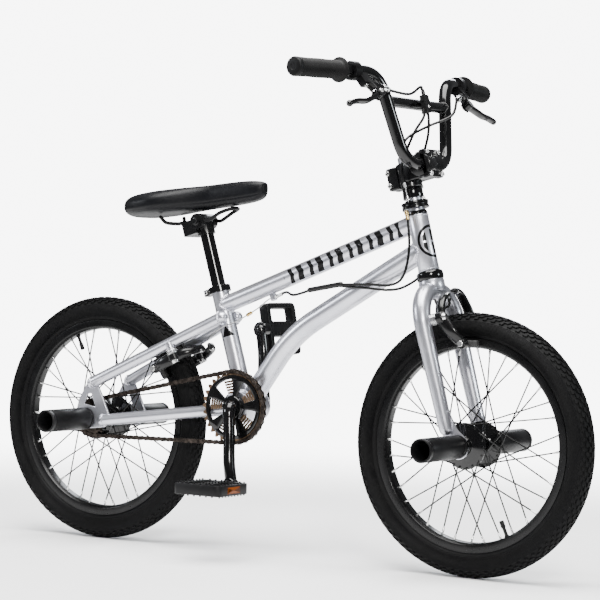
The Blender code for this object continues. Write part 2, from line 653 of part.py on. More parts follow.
def make_axle(name, axle, half_width):
    peg_from = half_width + DROPOUT_THICKNESS + 0.0006
    shaft = disc(AXLE_RADIUS, -(peg_from + 0.024), peg_from + 0.024, axle, SIDEWAYS, 16)
    for side in (-1, 1):
        cone_from = half_width - 0.0100 + GAP
        cone = sorted((side * cone_from, side * (half_width - GAP)))
        shaft = weld(shaft, disc(0.0120, *cone, axle, SIDEWAYS, 16))
        nut_from = peg_from + 0.0066
        nut = sorted((side * nut_from, side * (nut_from + 0.011)))
        shaft = weld(shaft, disc(0.0125, *nut, axle, SIDEWAYS, 6))
    keep(shaft, f"{name}_axle", STEEL, axle)
    for word, side in SIDES:
        inner = PEG_RADIUS - 0.0035
        outline = [(AXLE_RADIUS + GAP, 0), (PEG_RADIUS, 0), (PEG_RADIUS, PEG_END - peg_from - 0.002),
                   (PEG_RADIUS - 0.001, PEG_END - peg_from), (inner, PEG_END - peg_from), (inner, 0.006),
                   (AXLE_RADIUS + GAP, 0.006)]
        peg = turned(outline, axle + SIDEWAYS * side * peg_from, SIDEWAYS * side, 16)
        keep(peg, f"{word}_{name}_peg", SATIN, axle)


# Drive: crank, sprocket, freewheel, chain and pedals
CRANK_DOWN = Vector((math.sin(CRANK_LEAN), 0, -math.cos(CRANK_LEAN)))
SPROCKET_RADIUS = CHAIN_PITCH / (2 * math.sin(math.pi / SPROCKET_TEETH))
COG_RADIUS = CHAIN_PITCH / (2 * math.sin(math.pi / COG_TEETH))


def toothed(teeth, pitch_radius, first=0.0):
    """An outline of teeth: each a blunt tip between two roots."""
    outline = []
    for tooth in range(teeth):
        middle = first + math.tau * (tooth + 0.5) / teeth
        quarter = math.tau / teeth / 4
        for turn, radius in ((-1.5, -0.0042), (-0.5, 0.0025), (0.5, 0.0025), (1.5, -0.0042)):
            angle = middle + turn * quarter
            reach = pitch_radius + radius
            outline.append((math.cos(angle) * reach, math.sin(angle) * reach))
    return outline


def make_drive():
    upright = Matrix(((1, 0, 0, 0), (0, 0, 1, 0), (0, 1, 0, 0), (0, 0, 0, 1)))
    sprocket = plate(toothed(SPROCKET_TEETH, SPROCKET_RADIUS), -0.0012, 0.0012,
                     Matrix.Translation(BRACKET + SIDEWAYS * CHAIN_LINE) @ upright)
    sprocket = weld(sprocket, disc(0.0530, CHAIN_LINE - 0.0045, CHAIN_LINE + 0.0010, BRACKET, SIDEWAYS, 20))
    sprocket = cut(sprocket, disc(0.0121, -0.1, 0.1, BRACKET, SIDEWAYS, 16))
    keep(sprocket, "sprocket", BRONZE, BRACKET)
    wheel = plate(toothed(COG_TEETH, COG_RADIUS), -0.0012, 0.0012,
                  Matrix.Translation(REAR_AXLE + SIDEWAYS * CHAIN_LINE) @ upright)
    wheel = weld(wheel, disc(0.0240, -0.0444, -0.0368, REAR_AXLE, SIDEWAYS, 24))
    wheel = cut(wheel, disc(0.0170, -0.1, 0.1, REAR_AXLE, SIDEWAYS, 24))
    keep(wheel, "freewheel", CHAIN_METAL, REAR_AXLE)
    for name, side in SIDES:
        face = SHELL_HALF + 0.0003
        cup = turned([(0.0123, face - 0.010), (0.0250, face - 0.010), (0.0250, face), (0.0283, face),
                      (0.0283, face + 0.0022), (0.0123, face + 0.0022)], BRACKET, SIDEWAYS * side, 20)
        keep(cup, f"{name}_bottom_bracket_cup", SATIN, BRACKET)
    make_crank()
    make_chain()
    make_pedals()


def crank_end(side):
    """The pedal's centre line where it meets the arm: the right arm points down, the left one up."""
    return BRACKET - CRANK_DOWN * side * CRANK_LENGTH


def make_crank():
    crank = disc(0.0118, -0.060, 0.060, BRACKET, SIDEWAYS, 16)
    for side in (1, -1):
        end = crank_end(side)
        elbow = disc(0.0165, *sorted((side * 0.0520, side * 0.0680)), BRACKET, SIDEWAYS, 16)
        bends = ((0, 0.059), (0.35, 0.068), (0.70, 0.080), (1, 0.0825))
        route = smooth_route([BRACKET.lerp(end, t) + SIDEWAYS * side * out for t, out in bends], 2)
        arm = rod(route, 0.0105, 3)
        boss = disc(0.0145, *sorted((side * 0.0780, side * 0.0940)), end, SIDEWAYS, 16)
        crank = weld(crank, elbow, arm, boss)
    keep(crank, "crank", BLACK, BRACKET)


def around(centre, radius, angle):
    return centre.x + radius * math.cos(angle), centre.z + radius * math.sin(angle)


def chain_route():
    """The loop of the chain's pitch line in (x, z): two arcs and the straight runs that touch them."""
    apart = Vector((BRACKET.x - REAR_AXLE.x, BRACKET.z - REAR_AXLE.z))
    rise = math.atan2(apart.y, apart.x)
    open_angle = math.asin((SPROCKET_RADIUS - COG_RADIUS) / apart.length)
    route = []
    half = math.pi / 2 + open_angle
    for step in range(17):
        angle = rise - half + 2 * half * step / 16
        route.append(around(BRACKET, SPROCKET_RADIUS, angle))
    half = math.pi / 2 - open_angle
    for step in range(9):
        angle = rise + math.pi - half + 2 * half * step / 8
        route.append(around(REAR_AXLE, COG_RADIUS, angle))
    return route


def offset_loop(route, distance):
    """The loop moved outwards by distance, corner by corner."""
    moved = []
    for index, here in enumerate(route):
        before = Vector(here) - Vector(route[index - 1])
        after = Vector(route[(index + 1) % len(route)]) - Vector(here)
        along = (before.normalized() + after.normalized()).normalized()
        moved.append((here[0] + along.y * distance, here[1] - along.x * distance))
    return moved


def make_chain():
    """A channel that runs round the teeth: its web passes outside their tips."""
    upright = Matrix(((1, 0, 0, 0), (0, 0, 1, 0), (0, 1, 0, 0), (0, 0, 0, 1)))
    place = Matrix.Translation(SIDEWAYS * CHAIN_LINE) @ upright
    route = chain_route()
    band = plate(offset_loop(route, 0.0048), -0.0046, 0.0046, place)
    inside = plate(offset_loop(route, -0.0040), -0.010, 0.010, place)
    groove = plate(offset_loop(route, 0.0032), -0.0019, 0.0019, place)
    band = cut(band, inside, groove)
    keep(band, "chain", CHAIN_METAL)


def make_pedals():
    for name, side in SIDES:
        end = crank_end(side)
        centre = end + SIDEWAYS * side * PEDAL_CENTRE
        ahead = Vector((1, 0, 0)) if side < 0 else CRANK_DOWN
        up = Vector((-ahead.z, 0, ahead.x))
        body = block(centre, PEDAL_SIZE, ahead, up)
        for hand in (-1, 1):
            body = cut(body, block(centre + ahead * hand * 0.0265, (0.025, 0.074, 0.05), ahead, up))
        spindle = disc(0.0062, *sorted((side * 0.0948, side * 0.104)), end, SIDEWAYS, 12)
        keep(weld(body, spindle), f"{name}_pedal", SATIN, end)


# Saddle and seat post
SADDLE_REAR = -0.336
SADDLE_NOSE = -0.046


def make_seat():
    collar_at = SEAT_TUBE_LENGTH - 0.012
    collar = ring(SEAT_TUBE_RADIUS + 0.0045, SEAT_TUBE_RADIUS + GAP, collar_at, SEAT_TUBE_LENGTH,
                  BRACKET, SEAT_UP)
    ears = block(on_seat_tube(SEAT_TUBE_LENGTH - 0.006, -0.022), (0.016, 0.018, 0.012), SEAT_FORWARD, SEAT_UP)
    ears = cut(ears, disc(SEAT_TUBE_RADIUS + 0.002, 0.1, 0.3, BRACKET, SEAT_UP))
    split = block(on_seat_tube(SEAT_TUBE_LENGTH - 0.006, -0.026), (0.024, 0.003, 0.03), SEAT_FORWARD, SEAT_UP)
    keep(cut(weld(collar, ears), split), "seat_post_clamp", BLACK)
    post = rod([on_seat_tube(0.100), on_seat_tube(0.344)], SEAT_POST_RADIUS)
    post = cut(post, rod([on_seat_tube(0.09), on_seat_tube(0.36)], SEAT_POST_RADIUS - 0.002))
    keep(post, "seat_post", BLACK, on_seat_tube(SEAT_TUBE_LENGTH))
    head = on_seat_tube(0.350)
    clamp = disc(0.0145, -0.025, 0.025, head, SIDEWAYS, 16)
    cradle = block(head + Vector((-0.017, 0, -0.013)), (0.028, 0.048, 0.026), SEAT_FORWARD, SEAT_UP)
    clamp = weld(clamp, disc(0.0165, 0.325, 0.350, BRACKET, SEAT_UP, 16), cradle)
    slope = Vector((0.05, 0, 0.006))
    rails = [head + SIDEWAYS * side * 0.020 for side in (-1, 1)]
    grooves = [rod([rail - slope, rail + slope], 0.0038, 4) for rail in rails]
    clamp = cut(clamp, rod([on_seat_tube(0.30), on_seat_tube(0.3443)], SEAT_POST_RADIUS + GAP), *grooves)
    keep(clamp, "seat_clamp", BLACK, on_seat_tube(SEAT_TUBE_LENGTH))
    make_rails(head)
    make_saddle()


def make_rails(head):
    """One wire: up to the nose, back through the clamp on both sides, and up to the shell's rear."""
    slope = Vector((0.05, 0, 0.006)).normalized()
    left = [Vector((-0.2520, 0.0370, 0.6062)), Vector((-0.2440, 0.0300, 0.5965)),
            *[head + SIDEWAYS * 0.020 + slope * reach for reach in (-0.046, -0.036, -0.016, 0, 0.016, 0.026)],
            Vector((-0.1320, 0.0190, 0.6170)), Vector((-0.1120, 0.0100, 0.6248))]
    route = left + [mirrored(p, -1) for p in reversed(left)]
    keep(rod(smooth_route(route, 2), 0.0034, 1), "saddle_rails", BLACK, on_seat_tube(SEAT_TUBE_LENGTH))


def saddle_section(t):
    """Half width, top height and depth of the saddle at t, from 0 at the rear to 1 at the nose."""
    broad = 0.5 * (1 + math.cos(math.pi * min(1.0, max(0.0, (t - 0.22) / 0.42))))
    width = 0.021 + 0.049 * broad
    ends = math.sqrt(max(0.0, 1 - abs(2 * t - 1) ** 5))
    top = 0.648 + 0.0345 * t - 0.012 * (1 - ends)
    depth = 0.0485 - 0.003 * t
    return width * (0.30 + 0.70 * ends), top, depth * (0.40 + 0.60 * ends)


def make_saddle():
    shape = bmesh.new()
    loops = []
    count = 12
    for station in range(count + 1):
        t = station / count
        width, top, depth = saddle_section(t)
        x = SADDLE_REAR + (SADDLE_NOSE - SADDLE_REAR) * t
        loop = []
        for corner in range(10):
            angle = math.tau * corner / 10
            side = math.copysign(abs(math.cos(angle)) ** 0.6, math.cos(angle))
            lift = math.copysign(abs(math.sin(angle)) ** 0.7, math.sin(angle))
            loop.append(shape.verts.new((x, width * side, top - depth / 2 + depth / 2 * lift)))
        loops.append(loop)
    for first, second in zip(loops, loops[1:]):
        for i in range(10):
            shape.faces.new((first[i - 1], first[i], second[i], second[i - 1]))
    shape.faces.new(loops[0])
    shape.faces.new(loops[-1])
    saddle = from_bmesh("saddle", shape)
    keep(saddle, "saddle", VINYL, on_seat_tube(SEAT_TUBE_LENGTH))


# Detangler, splitter and cables
GYRO_LOW = 0.4175
GYRO_SIDE = 0.0290


def gyro_plate(low, high, ears, hole):
    body = disc(0.0240, low, high, STEER_FOOT, STEER_UP)
    for ahead, side in ears:
        foot = on_steerer((low + high) / 2, ahead, side * GYRO_SIDE)
        inward = Vector((0, side, 0))
        ear_size = (0.011, 0.022, high - low - 0.0006)
        body = weld(body, block(foot - inward * 0.009, ear_size, STEER_FORWARD, STEER_UP))
    body = cut(body, disc(STEERER_RADIUS + 0.0012, low - 0.01, high + 0.01, STEER_FOOT, STEER_UP, 18))
    for ahead, side in ears:
        foot = on_steerer((low + high) / 2, ahead, side * GYRO_SIDE)
        body = cut(body, disc(hole, -0.02, 0.02, foot, STEER_UP, 12))
    return body


def make_gyro():
    hole = CABLE_RADIUS + GAP
    lower = gyro_plate(GYRO_LOW, GYRO_LOW + 0.0035, ((-0.004, 1), (-0.004, -1)), hole)
    keep(lower, "gyro_lower_plate", BLACK, on_steerer(GYRO_LOW))
    bearing = ring(0.0225, STEERER_RADIUS + 0.0012, GYRO_LOW + 0.0038, GYRO_LOW + 0.0085,
                   STEER_FOOT, STEER_UP)
    keep(bearing, "gyro_bearing", STEEL, on_steerer(GYRO_LOW))
    upper = gyro_plate(GYRO_LOW + 0.0088, GYRO_LOW + 0.0123, ((0.004, 1), (0.004, -1)), hole)
    keep(upper, "gyro_upper_plate", BLACK, on_steerer(GYRO_LOW))


# Cable routes, point by point
SPLITTER = Vector((0.2805, 0, 0.8120))
SPLITTER_SIZE = (0.012, 0.016, 0.032)


def cable(corners, radius=CABLE_RADIUS, count=3, resolution=1):
    return rod(smooth_route(corners, count), radius, resolution)


def splitter_leg(side):
    """From the splitter down past the stem to the detangler's upper plate."""
    return [Vector((0.2820, side * 0.0045, 0.8000)), Vector((0.2820, side * 0.010, 0.7860)),
            Vector((0.2720, side * 0.026, 0.7560)), on_steerer(0.490, 0.007, side * 0.0325),
            on_steerer(0.455, 0.004, side * GYRO_SIDE),
            on_steerer(GYRO_LOW + 0.0092, 0.004, side * GYRO_SIDE)]


def make_cables():
    case = block(SPLITTER, SPLITTER_SIZE, STEER_FORWARD, STEER_UP)
    splitter = weld(case, cable(splitter_leg(1)), cable(splitter_leg(-1)))
    keep(splitter, "cable_splitter", PLASTIC, on_steerer(HEAD_TUBE_FROM))

    nozzle = {side: nozzle_end(side) for name, side in SIDES}
    way_out = {side: nozzle_way(side) for name, side in SIDES}
    top = SPLITTER + STEER_UP * (SPLITTER_SIZE[2] / 2 + 4 * GAP)
    keep(cable([nozzle[-1], nozzle[-1] + way_out[-1] * 0.012, Vector((0.2900, -0.072, 0.8240)),
                Vector((0.2870, -0.032, 0.8390)), top + STEER_UP * 0.009 - SIDEWAYS * 0.002, top]),
         "rear_brake_lever_cable", PLASTIC, on_steerer(HEAD_TUBE_FROM))

    keep(cable([nozzle[1], nozzle[1] + way_out[1] * 0.014, Vector((0.2960, 0.066, 0.7960)),
                Vector((0.2660, 0.038, 0.7760)), Vector((0.2450, 0.012, 0.7580)), on_steerer(0.533, 0.001),
                on_steerer(0.515, 0), on_steerer(0.460, 0),
                on_steerer(0.400, 0), on_steerer(0.330, 0), on_steerer(0.270, 0), on_steerer(0.2490, 0.001),
                on_steerer(0.2385, 0.010), on_steerer(0.2400, 0.024), on_steerer(0.2520, 0.028)]),
         "front_brake_cable", PLASTIC, on_steerer(HEAD_TUBE_FROM))

    along = (TOP_TUBE_ROUTE[1] - TOP_TUBE_ROUTE[0]).normalized()
    join = Vector((0.1310, -0.0260, 0.4940))
    near = cable([on_steerer(GYRO_LOW + 0.0030, -0.004, -GYRO_SIDE), on_steerer(0.400, -0.004, -GYRO_SIDE),
                  Vector((0.2735, -0.0300, 0.5583)), Vector((0.2632, -0.0300, 0.5130)),
                  Vector((0.2376, -0.0290, 0.4968)), Vector((0.1900, -0.0270, 0.4965)), join])
    far = cable([on_steerer(GYRO_LOW + 0.0030, -0.004, GYRO_SIDE), on_steerer(0.400, -0.004, GYRO_SIDE),
                 Vector((0.2760, 0.0300, 0.5583)), Vector((0.2680, 0.0270, 0.5180)),
                 Vector((0.2480, 0.0050, 0.4950)), Vector((0.2280, -0.0160, 0.4880)),
                 Vector((0.1850, -0.0230, 0.4900)), join + Vector((0, 0.001, -0.002))])
    sleeve = rod([join + Vector((0.004, 0, 0.001)), Vector((0.0690, -0.0240, 0.4826))], 0.0046, 2)
    single = cable([Vector((0.0750, -0.0241, 0.4837)), Vector((0.0292, -0.0120, 0.4725)),
                    CABLE_STOP + along * 0.030, CABLE_STOP + along * 0.0066])
    wire = cable([CABLE_STOP + along * 0.012, CABLE_STOP, CABLE_STOP - along * 0.012,
                  Vector((-0.0520, -0.0100, 0.4440)), Vector((-0.0859, -0.0215, 0.4215)),
                  Vector((-0.1200, -0.0215, 0.4080)), Vector((-0.1480, -0.0120, 0.3930)),
                  Vector((-0.1640, -0.0020, 0.3830))], 0.0012, 3)
    keep(weld(near, far, sleeve, single, wire), "rear_brake_cable", PLASTIC)


make_frame()
make_stays()
make_headset()
make_fork()
make_stem()
make_handlebar()
make_levers()
make_brake("front", front_pivot, STEER_UP, STEER_FORWARD, FRONT_AXLE, math.radians(91.5))
make_brake("rear", rear_pivot, REAR_BRAKE_UP, REAR_BRAKE_OUT, REAR_AXLE, math.radians(35.0))
make_wheel("front", FRONT_AXLE, FRONT_HUB_HALF)
make_wheel("rear", REAR_AXLE, REAR_HUB_HALF)
make_axle("front", FRONT_AXLE, FRONT_HUB_HALF)
make_axle("rear", REAR_AXLE, REAR_HUB_HALF)
make_drive()
make_seat()
make_gyro()
make_cables()
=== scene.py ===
import json
import math

import bmesh
import bpy
import numpy as np
from mathutils import Matrix, Vector


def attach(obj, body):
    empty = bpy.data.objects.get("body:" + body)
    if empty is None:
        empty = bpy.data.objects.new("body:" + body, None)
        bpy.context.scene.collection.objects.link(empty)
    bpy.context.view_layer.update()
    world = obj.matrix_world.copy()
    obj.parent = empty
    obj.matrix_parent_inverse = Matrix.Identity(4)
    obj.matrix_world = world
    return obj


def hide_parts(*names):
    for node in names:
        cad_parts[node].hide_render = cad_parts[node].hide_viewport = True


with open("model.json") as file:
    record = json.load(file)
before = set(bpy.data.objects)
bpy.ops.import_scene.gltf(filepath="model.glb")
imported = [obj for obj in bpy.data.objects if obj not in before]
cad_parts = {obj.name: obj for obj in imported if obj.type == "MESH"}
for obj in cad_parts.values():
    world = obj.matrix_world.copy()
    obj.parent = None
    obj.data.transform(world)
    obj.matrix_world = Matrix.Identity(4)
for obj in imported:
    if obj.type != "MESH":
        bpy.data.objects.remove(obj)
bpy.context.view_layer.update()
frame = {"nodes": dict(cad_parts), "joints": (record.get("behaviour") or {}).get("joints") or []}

print("frame loaded:", len(frame["nodes"]), "nodes")

# ---- places, all worked out from the frame
joints = {joint["name"]: joint for joint in frame["joints"]}
tau = math.tau
leftWay = np.array([0.0, 1.0, 0.0])
upWay = np.array([0.0, 0.0, 1.0])
sides = (("left", 1), ("right", -1))


def unit(vector):
    vector = np.asarray(vector, float)
    return vector / np.linalg.norm(vector)


frontAxle = np.array(joints["front_wheel_spin"]["pos_m"])
rearAxle = np.array(joints["rear_wheel_spin"]["pos_m"])
bracket = np.array(joints["crank_spin"]["pos_m"])
steerUp = unit(joints["steering_turn"]["axis"])
steerForward = unit(np.cross(leftWay, steerUp))
headTubeFrom = 0.306
steerFoot = np.array(joints["steering_turn"]["pos_m"]) - steerUp * headTubeFrom
seatUp = unit(joints["seat_height"]["axis"])
seatForward = unit(np.cross(leftWay, seatUp))


def onSteerer(along, forward=0.0, side=0.0):
    return steerFoot + steerUp * along + steerForward * forward + leftWay * side


def onSeatTube(along, forward=0.0, side=0.0):
    return bracket + seatUp * along + seatForward * forward + leftWay * side


def mirrored(point, side):
    return np.array([point[0], point[1] * side, point[2]])


# ---- camera, lights and floor
studio = dict(azimuth=32.636, elevation=1.135, roll=1.658, distance=4.2745, lens=143.2,
              target=(0.034, 0.0, 0.4636), floorSize=6.0, floorFade=(0.9, 2.6))


def makeCamera():
    turn, rise, roll = (math.radians(studio[word]) for word in ("azimuth", "elevation", "roll"))
    back = np.array([math.sin(turn) * math.cos(rise), -math.cos(turn) * math.cos(rise), math.sin(rise)])
    across = unit(np.cross(-back, upWay))
    over = np.cross(across, -back)
    right = across * math.cos(roll) + over * math.sin(roll)
    top = over * math.cos(roll) - across * math.sin(roll)
    data = bpy.data.cameras.new("camera")
    data.lens = studio["lens"]
    data.sensor_width = 36
    camera = bpy.data.objects.new("camera", data)
    bpy.context.scene.collection.objects.link(camera)
    place = Matrix([list(row) for row in np.stack([right, top, back], 1)]).to_4x4()
    place.translation = Vector(np.array(studio["target"]) + back * studio["distance"])
    camera.matrix_world = place
    bpy.context.scene.camera = camera


lamps = dict(over=dict(at=(0.2, -0.6, 3.6), size=3.0, power=520, colour=(1.0, 0.995, 0.985)),
             back=dict(at=(-1.2, 3.2, 2.2), size=1.4, power=70, colour=(0.93, 0.96, 1.0)),
             key=dict(at=(2.6, -3.0, 2.2), size=0.6, power=130, colour=(1.0, 0.985, 0.96)),
             side=dict(at=(-3.2, -2.2, 1.6), size=0.6, power=60, colour=(0.92, 0.95, 1.0)),
             strip=dict(at=(3.2, 0.9, 1.3), size=0.6, power=40, colour=(0.90, 0.97, 1.0)))
surround = dict(seen=(0.97, 0.97, 0.975), brightness=8.0, fill=0.20)


def makeLights():
    for name, lamp in lamps.items():
        data = bpy.data.lights.new(name, "AREA")
        data.shape = "SQUARE"
        data.size = lamp["size"]
        data.energy = lamp["power"]
        data.color = lamp["colour"]
        light = bpy.data.objects.new(name, data)
        bpy.context.scene.collection.objects.link(light)
        light.location = lamp["at"]
        aim = Vector(studio["target"]) - light.location
        light.rotation_euler = aim.to_track_quat("-Z", "Y").to_euler()
    # the backdrop is seen bright, and lights the object only gently
    world = bpy.data.worlds.new("studioWorld")
    bpy.context.scene.world = world
    world.use_nodes = True
    tree = world.node_tree
    seen = tree.nodes["Background"]
    seen.inputs["Color"].default_value = (*surround["seen"], 1)
    seen.inputs["Strength"].default_value = surround["brightness"]
    fill = tree.nodes.new("ShaderNodeBackground")
    fill.inputs["Color"].default_value = (0.95, 0.96, 1.0, 1)
    fill.inputs["Strength"].default_value = surround["fill"]
    ray = tree.nodes.new("ShaderNodeLightPath")
    both = tree.nodes.new("ShaderNodeMixShader")
    tree.links.new(ray.outputs["Is Camera Ray"], both.inputs["Fac"])
    tree.links.new(fill.outputs["Background"], both.inputs[1])
    tree.links.new(seen.outputs["Background"], both.inputs[2])
    tree.links.new(both.outputs["Shader"], tree.nodes["World Output"].inputs["Surface"])


# ---- materials: one class for values, one for a material's nodes
class Signal:
    # wraps a value socket, so that + - * / < > add their Math nodes
    def __init__(self, look, socket):
        self.look = look
        self.socket = socket

    def maths(self, operation, *others):
        return self.look.node("ShaderNodeMath", dict(operation=operation), {0: self, **dict(enumerate(others, 1))})

    def __add__(self, other): return self.maths("ADD", other)
    def __radd__(self, other): return self.maths("ADD", other)
    def __sub__(self, other): return self.maths("SUBTRACT", other)
    def __rsub__(self, other): return self.look.node("ShaderNodeMath", dict(operation="SUBTRACT"), {0: other, 1: self})
    def __mul__(self, other): return self.maths("MULTIPLY", other)
    def __rmul__(self, other): return self.maths("MULTIPLY", other)
    def __truediv__(self, other): return self.maths("DIVIDE", other)
    def __lt__(self, other): return self.maths("LESS_THAN", other)
    def __gt__(self, other): return self.maths("GREATER_THAN", other)
    def __abs__(self): return self.maths("ABSOLUTE")
    def fraction(self): return self.maths("FRACT")
    def power(self, other): return self.maths("POWER", other)
    def most(self, other): return self.maths("MAXIMUM", other)

    def between(self, low, high):
        # 0 below low and 1 above high, smooth in between
        return self.look.node("ShaderNodeMapRange", dict(interpolation_type="SMOOTHSTEP"),
                              {"Value": self, "From Min": low, "From Max": high})


class Look:
    # a material on Object coordinates, built with one method for nodes
    def __init__(self, name, **constants):
        self.material = bpy.data.materials.new(name)
        self.material.use_nodes = True
        self.tree = self.material.node_tree
        self.shader = self.tree.nodes["Principled BSDF"]
        self.place = self.node("ShaderNodeTexCoord", {}, {}, "Object")
        for word, value in constants.items():
            socket = self.shader.inputs[word.replace("_", " ")]
            socket.default_value = (*value, 1) if isinstance(value, tuple) and len(value) == 3 else value

    def node(self, kind, settings, inputs, output=0):
        made = self.tree.nodes.new(kind)
        for word, value in settings.items():
            if word == "stops":
                while len(made.color_ramp.elements) < len(value):
                    made.color_ramp.elements.new(0.5)
                for element, (position, colour) in zip(made.color_ramp.elements, value):
                    element.position = position
                    element.color = (*colour, 1)
            else:
                setattr(made, word, value)
        for word, value in inputs.items():
            if isinstance(value, Signal):
                self.tree.links.new(value.socket, made.inputs[word])
            else:
                made.inputs[word].default_value = value
        return Signal(self, made.outputs[output])

    def noise(self, scale, detail=2.0, roughness=0.5, stretch=None):
        where = self.place
        if stretch:
            where = self.node("ShaderNodeMapping", {}, {"Vector": where, "Scale": stretch})
        return self.node("ShaderNodeTexNoise", {},
                         {"Vector": where, "Scale": scale, "Detail": detail, "Roughness": roughness})

    def along(self, way, origin=(0, 0, 0)):
        # how far a point lies from origin, measured along way
        dot = self.node("ShaderNodeVectorMath", dict(operation="DOT_PRODUCT"),
                        {0: self.place, 1: tuple(float(c) for c in way)}, 1)
        return dot - float(np.dot(way, origin))

    def blend(self, factor, first, second):
        mixed = self.node("ShaderNodeMix", dict(data_type="RGBA"), {"Factor": factor}, 2)
        node = mixed.socket.node
        for socket, value in ((node.inputs[6], first), (node.inputs[7], second)):
            if isinstance(value, Signal):
                self.tree.links.new(value.socket, socket)
            else:
                socket.default_value = (*value, 1)
        return mixed

    def feed(self, word, value):
        self.tree.links.new(value.socket, self.shader.inputs[word])
        return self

    def bump(self, height, distance, strength=1.0):
        normal = self.node("ShaderNodeBump", {}, {"Height": height, "Distance": distance, "Strength": strength})
        return self.feed("Normal", normal)


silverTones = dict(light=(0.58, 0.58, 0.63), shade=(0.44, 0.45, 0.50), decal=(0.002, 0.002, 0.0022))


def silverPaint(name, mask=None):
    # satin metallic lacquer: fine flake, faint cloudiness, dust and small rub marks; mask paints a black decal
    look = Look(name, Coat_Roughness=0.12, Coat_IOR=1.45, Specular_IOR_Level=0.12)
    cloud = look.noise(9, 3)
    flake = look.noise(2600, 1)
    rub = look.noise(60, 4, 0.6, (1, 1, 5)).between(0.60, 0.78)
    paint = look.blend(cloud.between(0.3, 0.7), silverTones["shade"], silverTones["light"])
    paint = look.blend(flake.between(0.45, 0.75) * 0.35, paint, (0.86, 0.86, 0.88))
    paint = look.blend(rub * 0.22, paint, (0.34, 0.33, 0.33))
    metal = 0.92 - rub * 0.2
    rough = 0.31 + (flake - 0.5) * 0.14 + rub * 0.18
    if mask:
        inked = mask(look)
        worn = inked * (1 - look.noise(180, 4, 0.7).between(0.66, 0.72) * 0.5)
        paint = look.blend(worn, paint, silverTones["decal"])
        metal = metal * (1 - worn)
        rough = rough * (1 - worn) + worn * 0.32
    look.feed("Base Color", paint).feed("Metallic", metal).feed("Roughness", rough)
    look.feed("Coat Weight", (0.3 - rub * 0.25) * (1 - worn) if mask else 0.3 - rub * 0.25)
    return look.bump(flake * 0.25 + look.noise(70, 2), 0.00012, 0.35).material


def plainLook(name, tones, roughness, spread=0.08, metallic=0.0, grain=400, height=0.00008, clouds=22,
              marks=0.0, markTone=(0.2, 0.2, 0.2), stretch=None, **more):
    # the common recipe: two tones mixed by slow clouds, fine grain in roughness and bump, and sparse marks
    look = Look(name, **more)
    look.shader.inputs["Metallic"].default_value = metallic
    cloud = look.noise(clouds, 3)
    fine = look.noise(grain, 2, 0.6, stretch)
    colour = look.blend(cloud.between(0.35, 0.65), *tones)
    rough = roughness + (fine - 0.5) * spread * 2 + (cloud - 0.5) * spread
    if marks:
        mark = look.noise(clouds * 9, 5, 0.7, (1, 3, 1)).between(0.64, 0.74) * marks
        colour = look.blend(mark, colour, markTone)
        rough = rough + mark * 0.25
    look.feed("Base Color", colour).feed("Roughness", rough)
    return look.bump(fine, height, 0.6).material


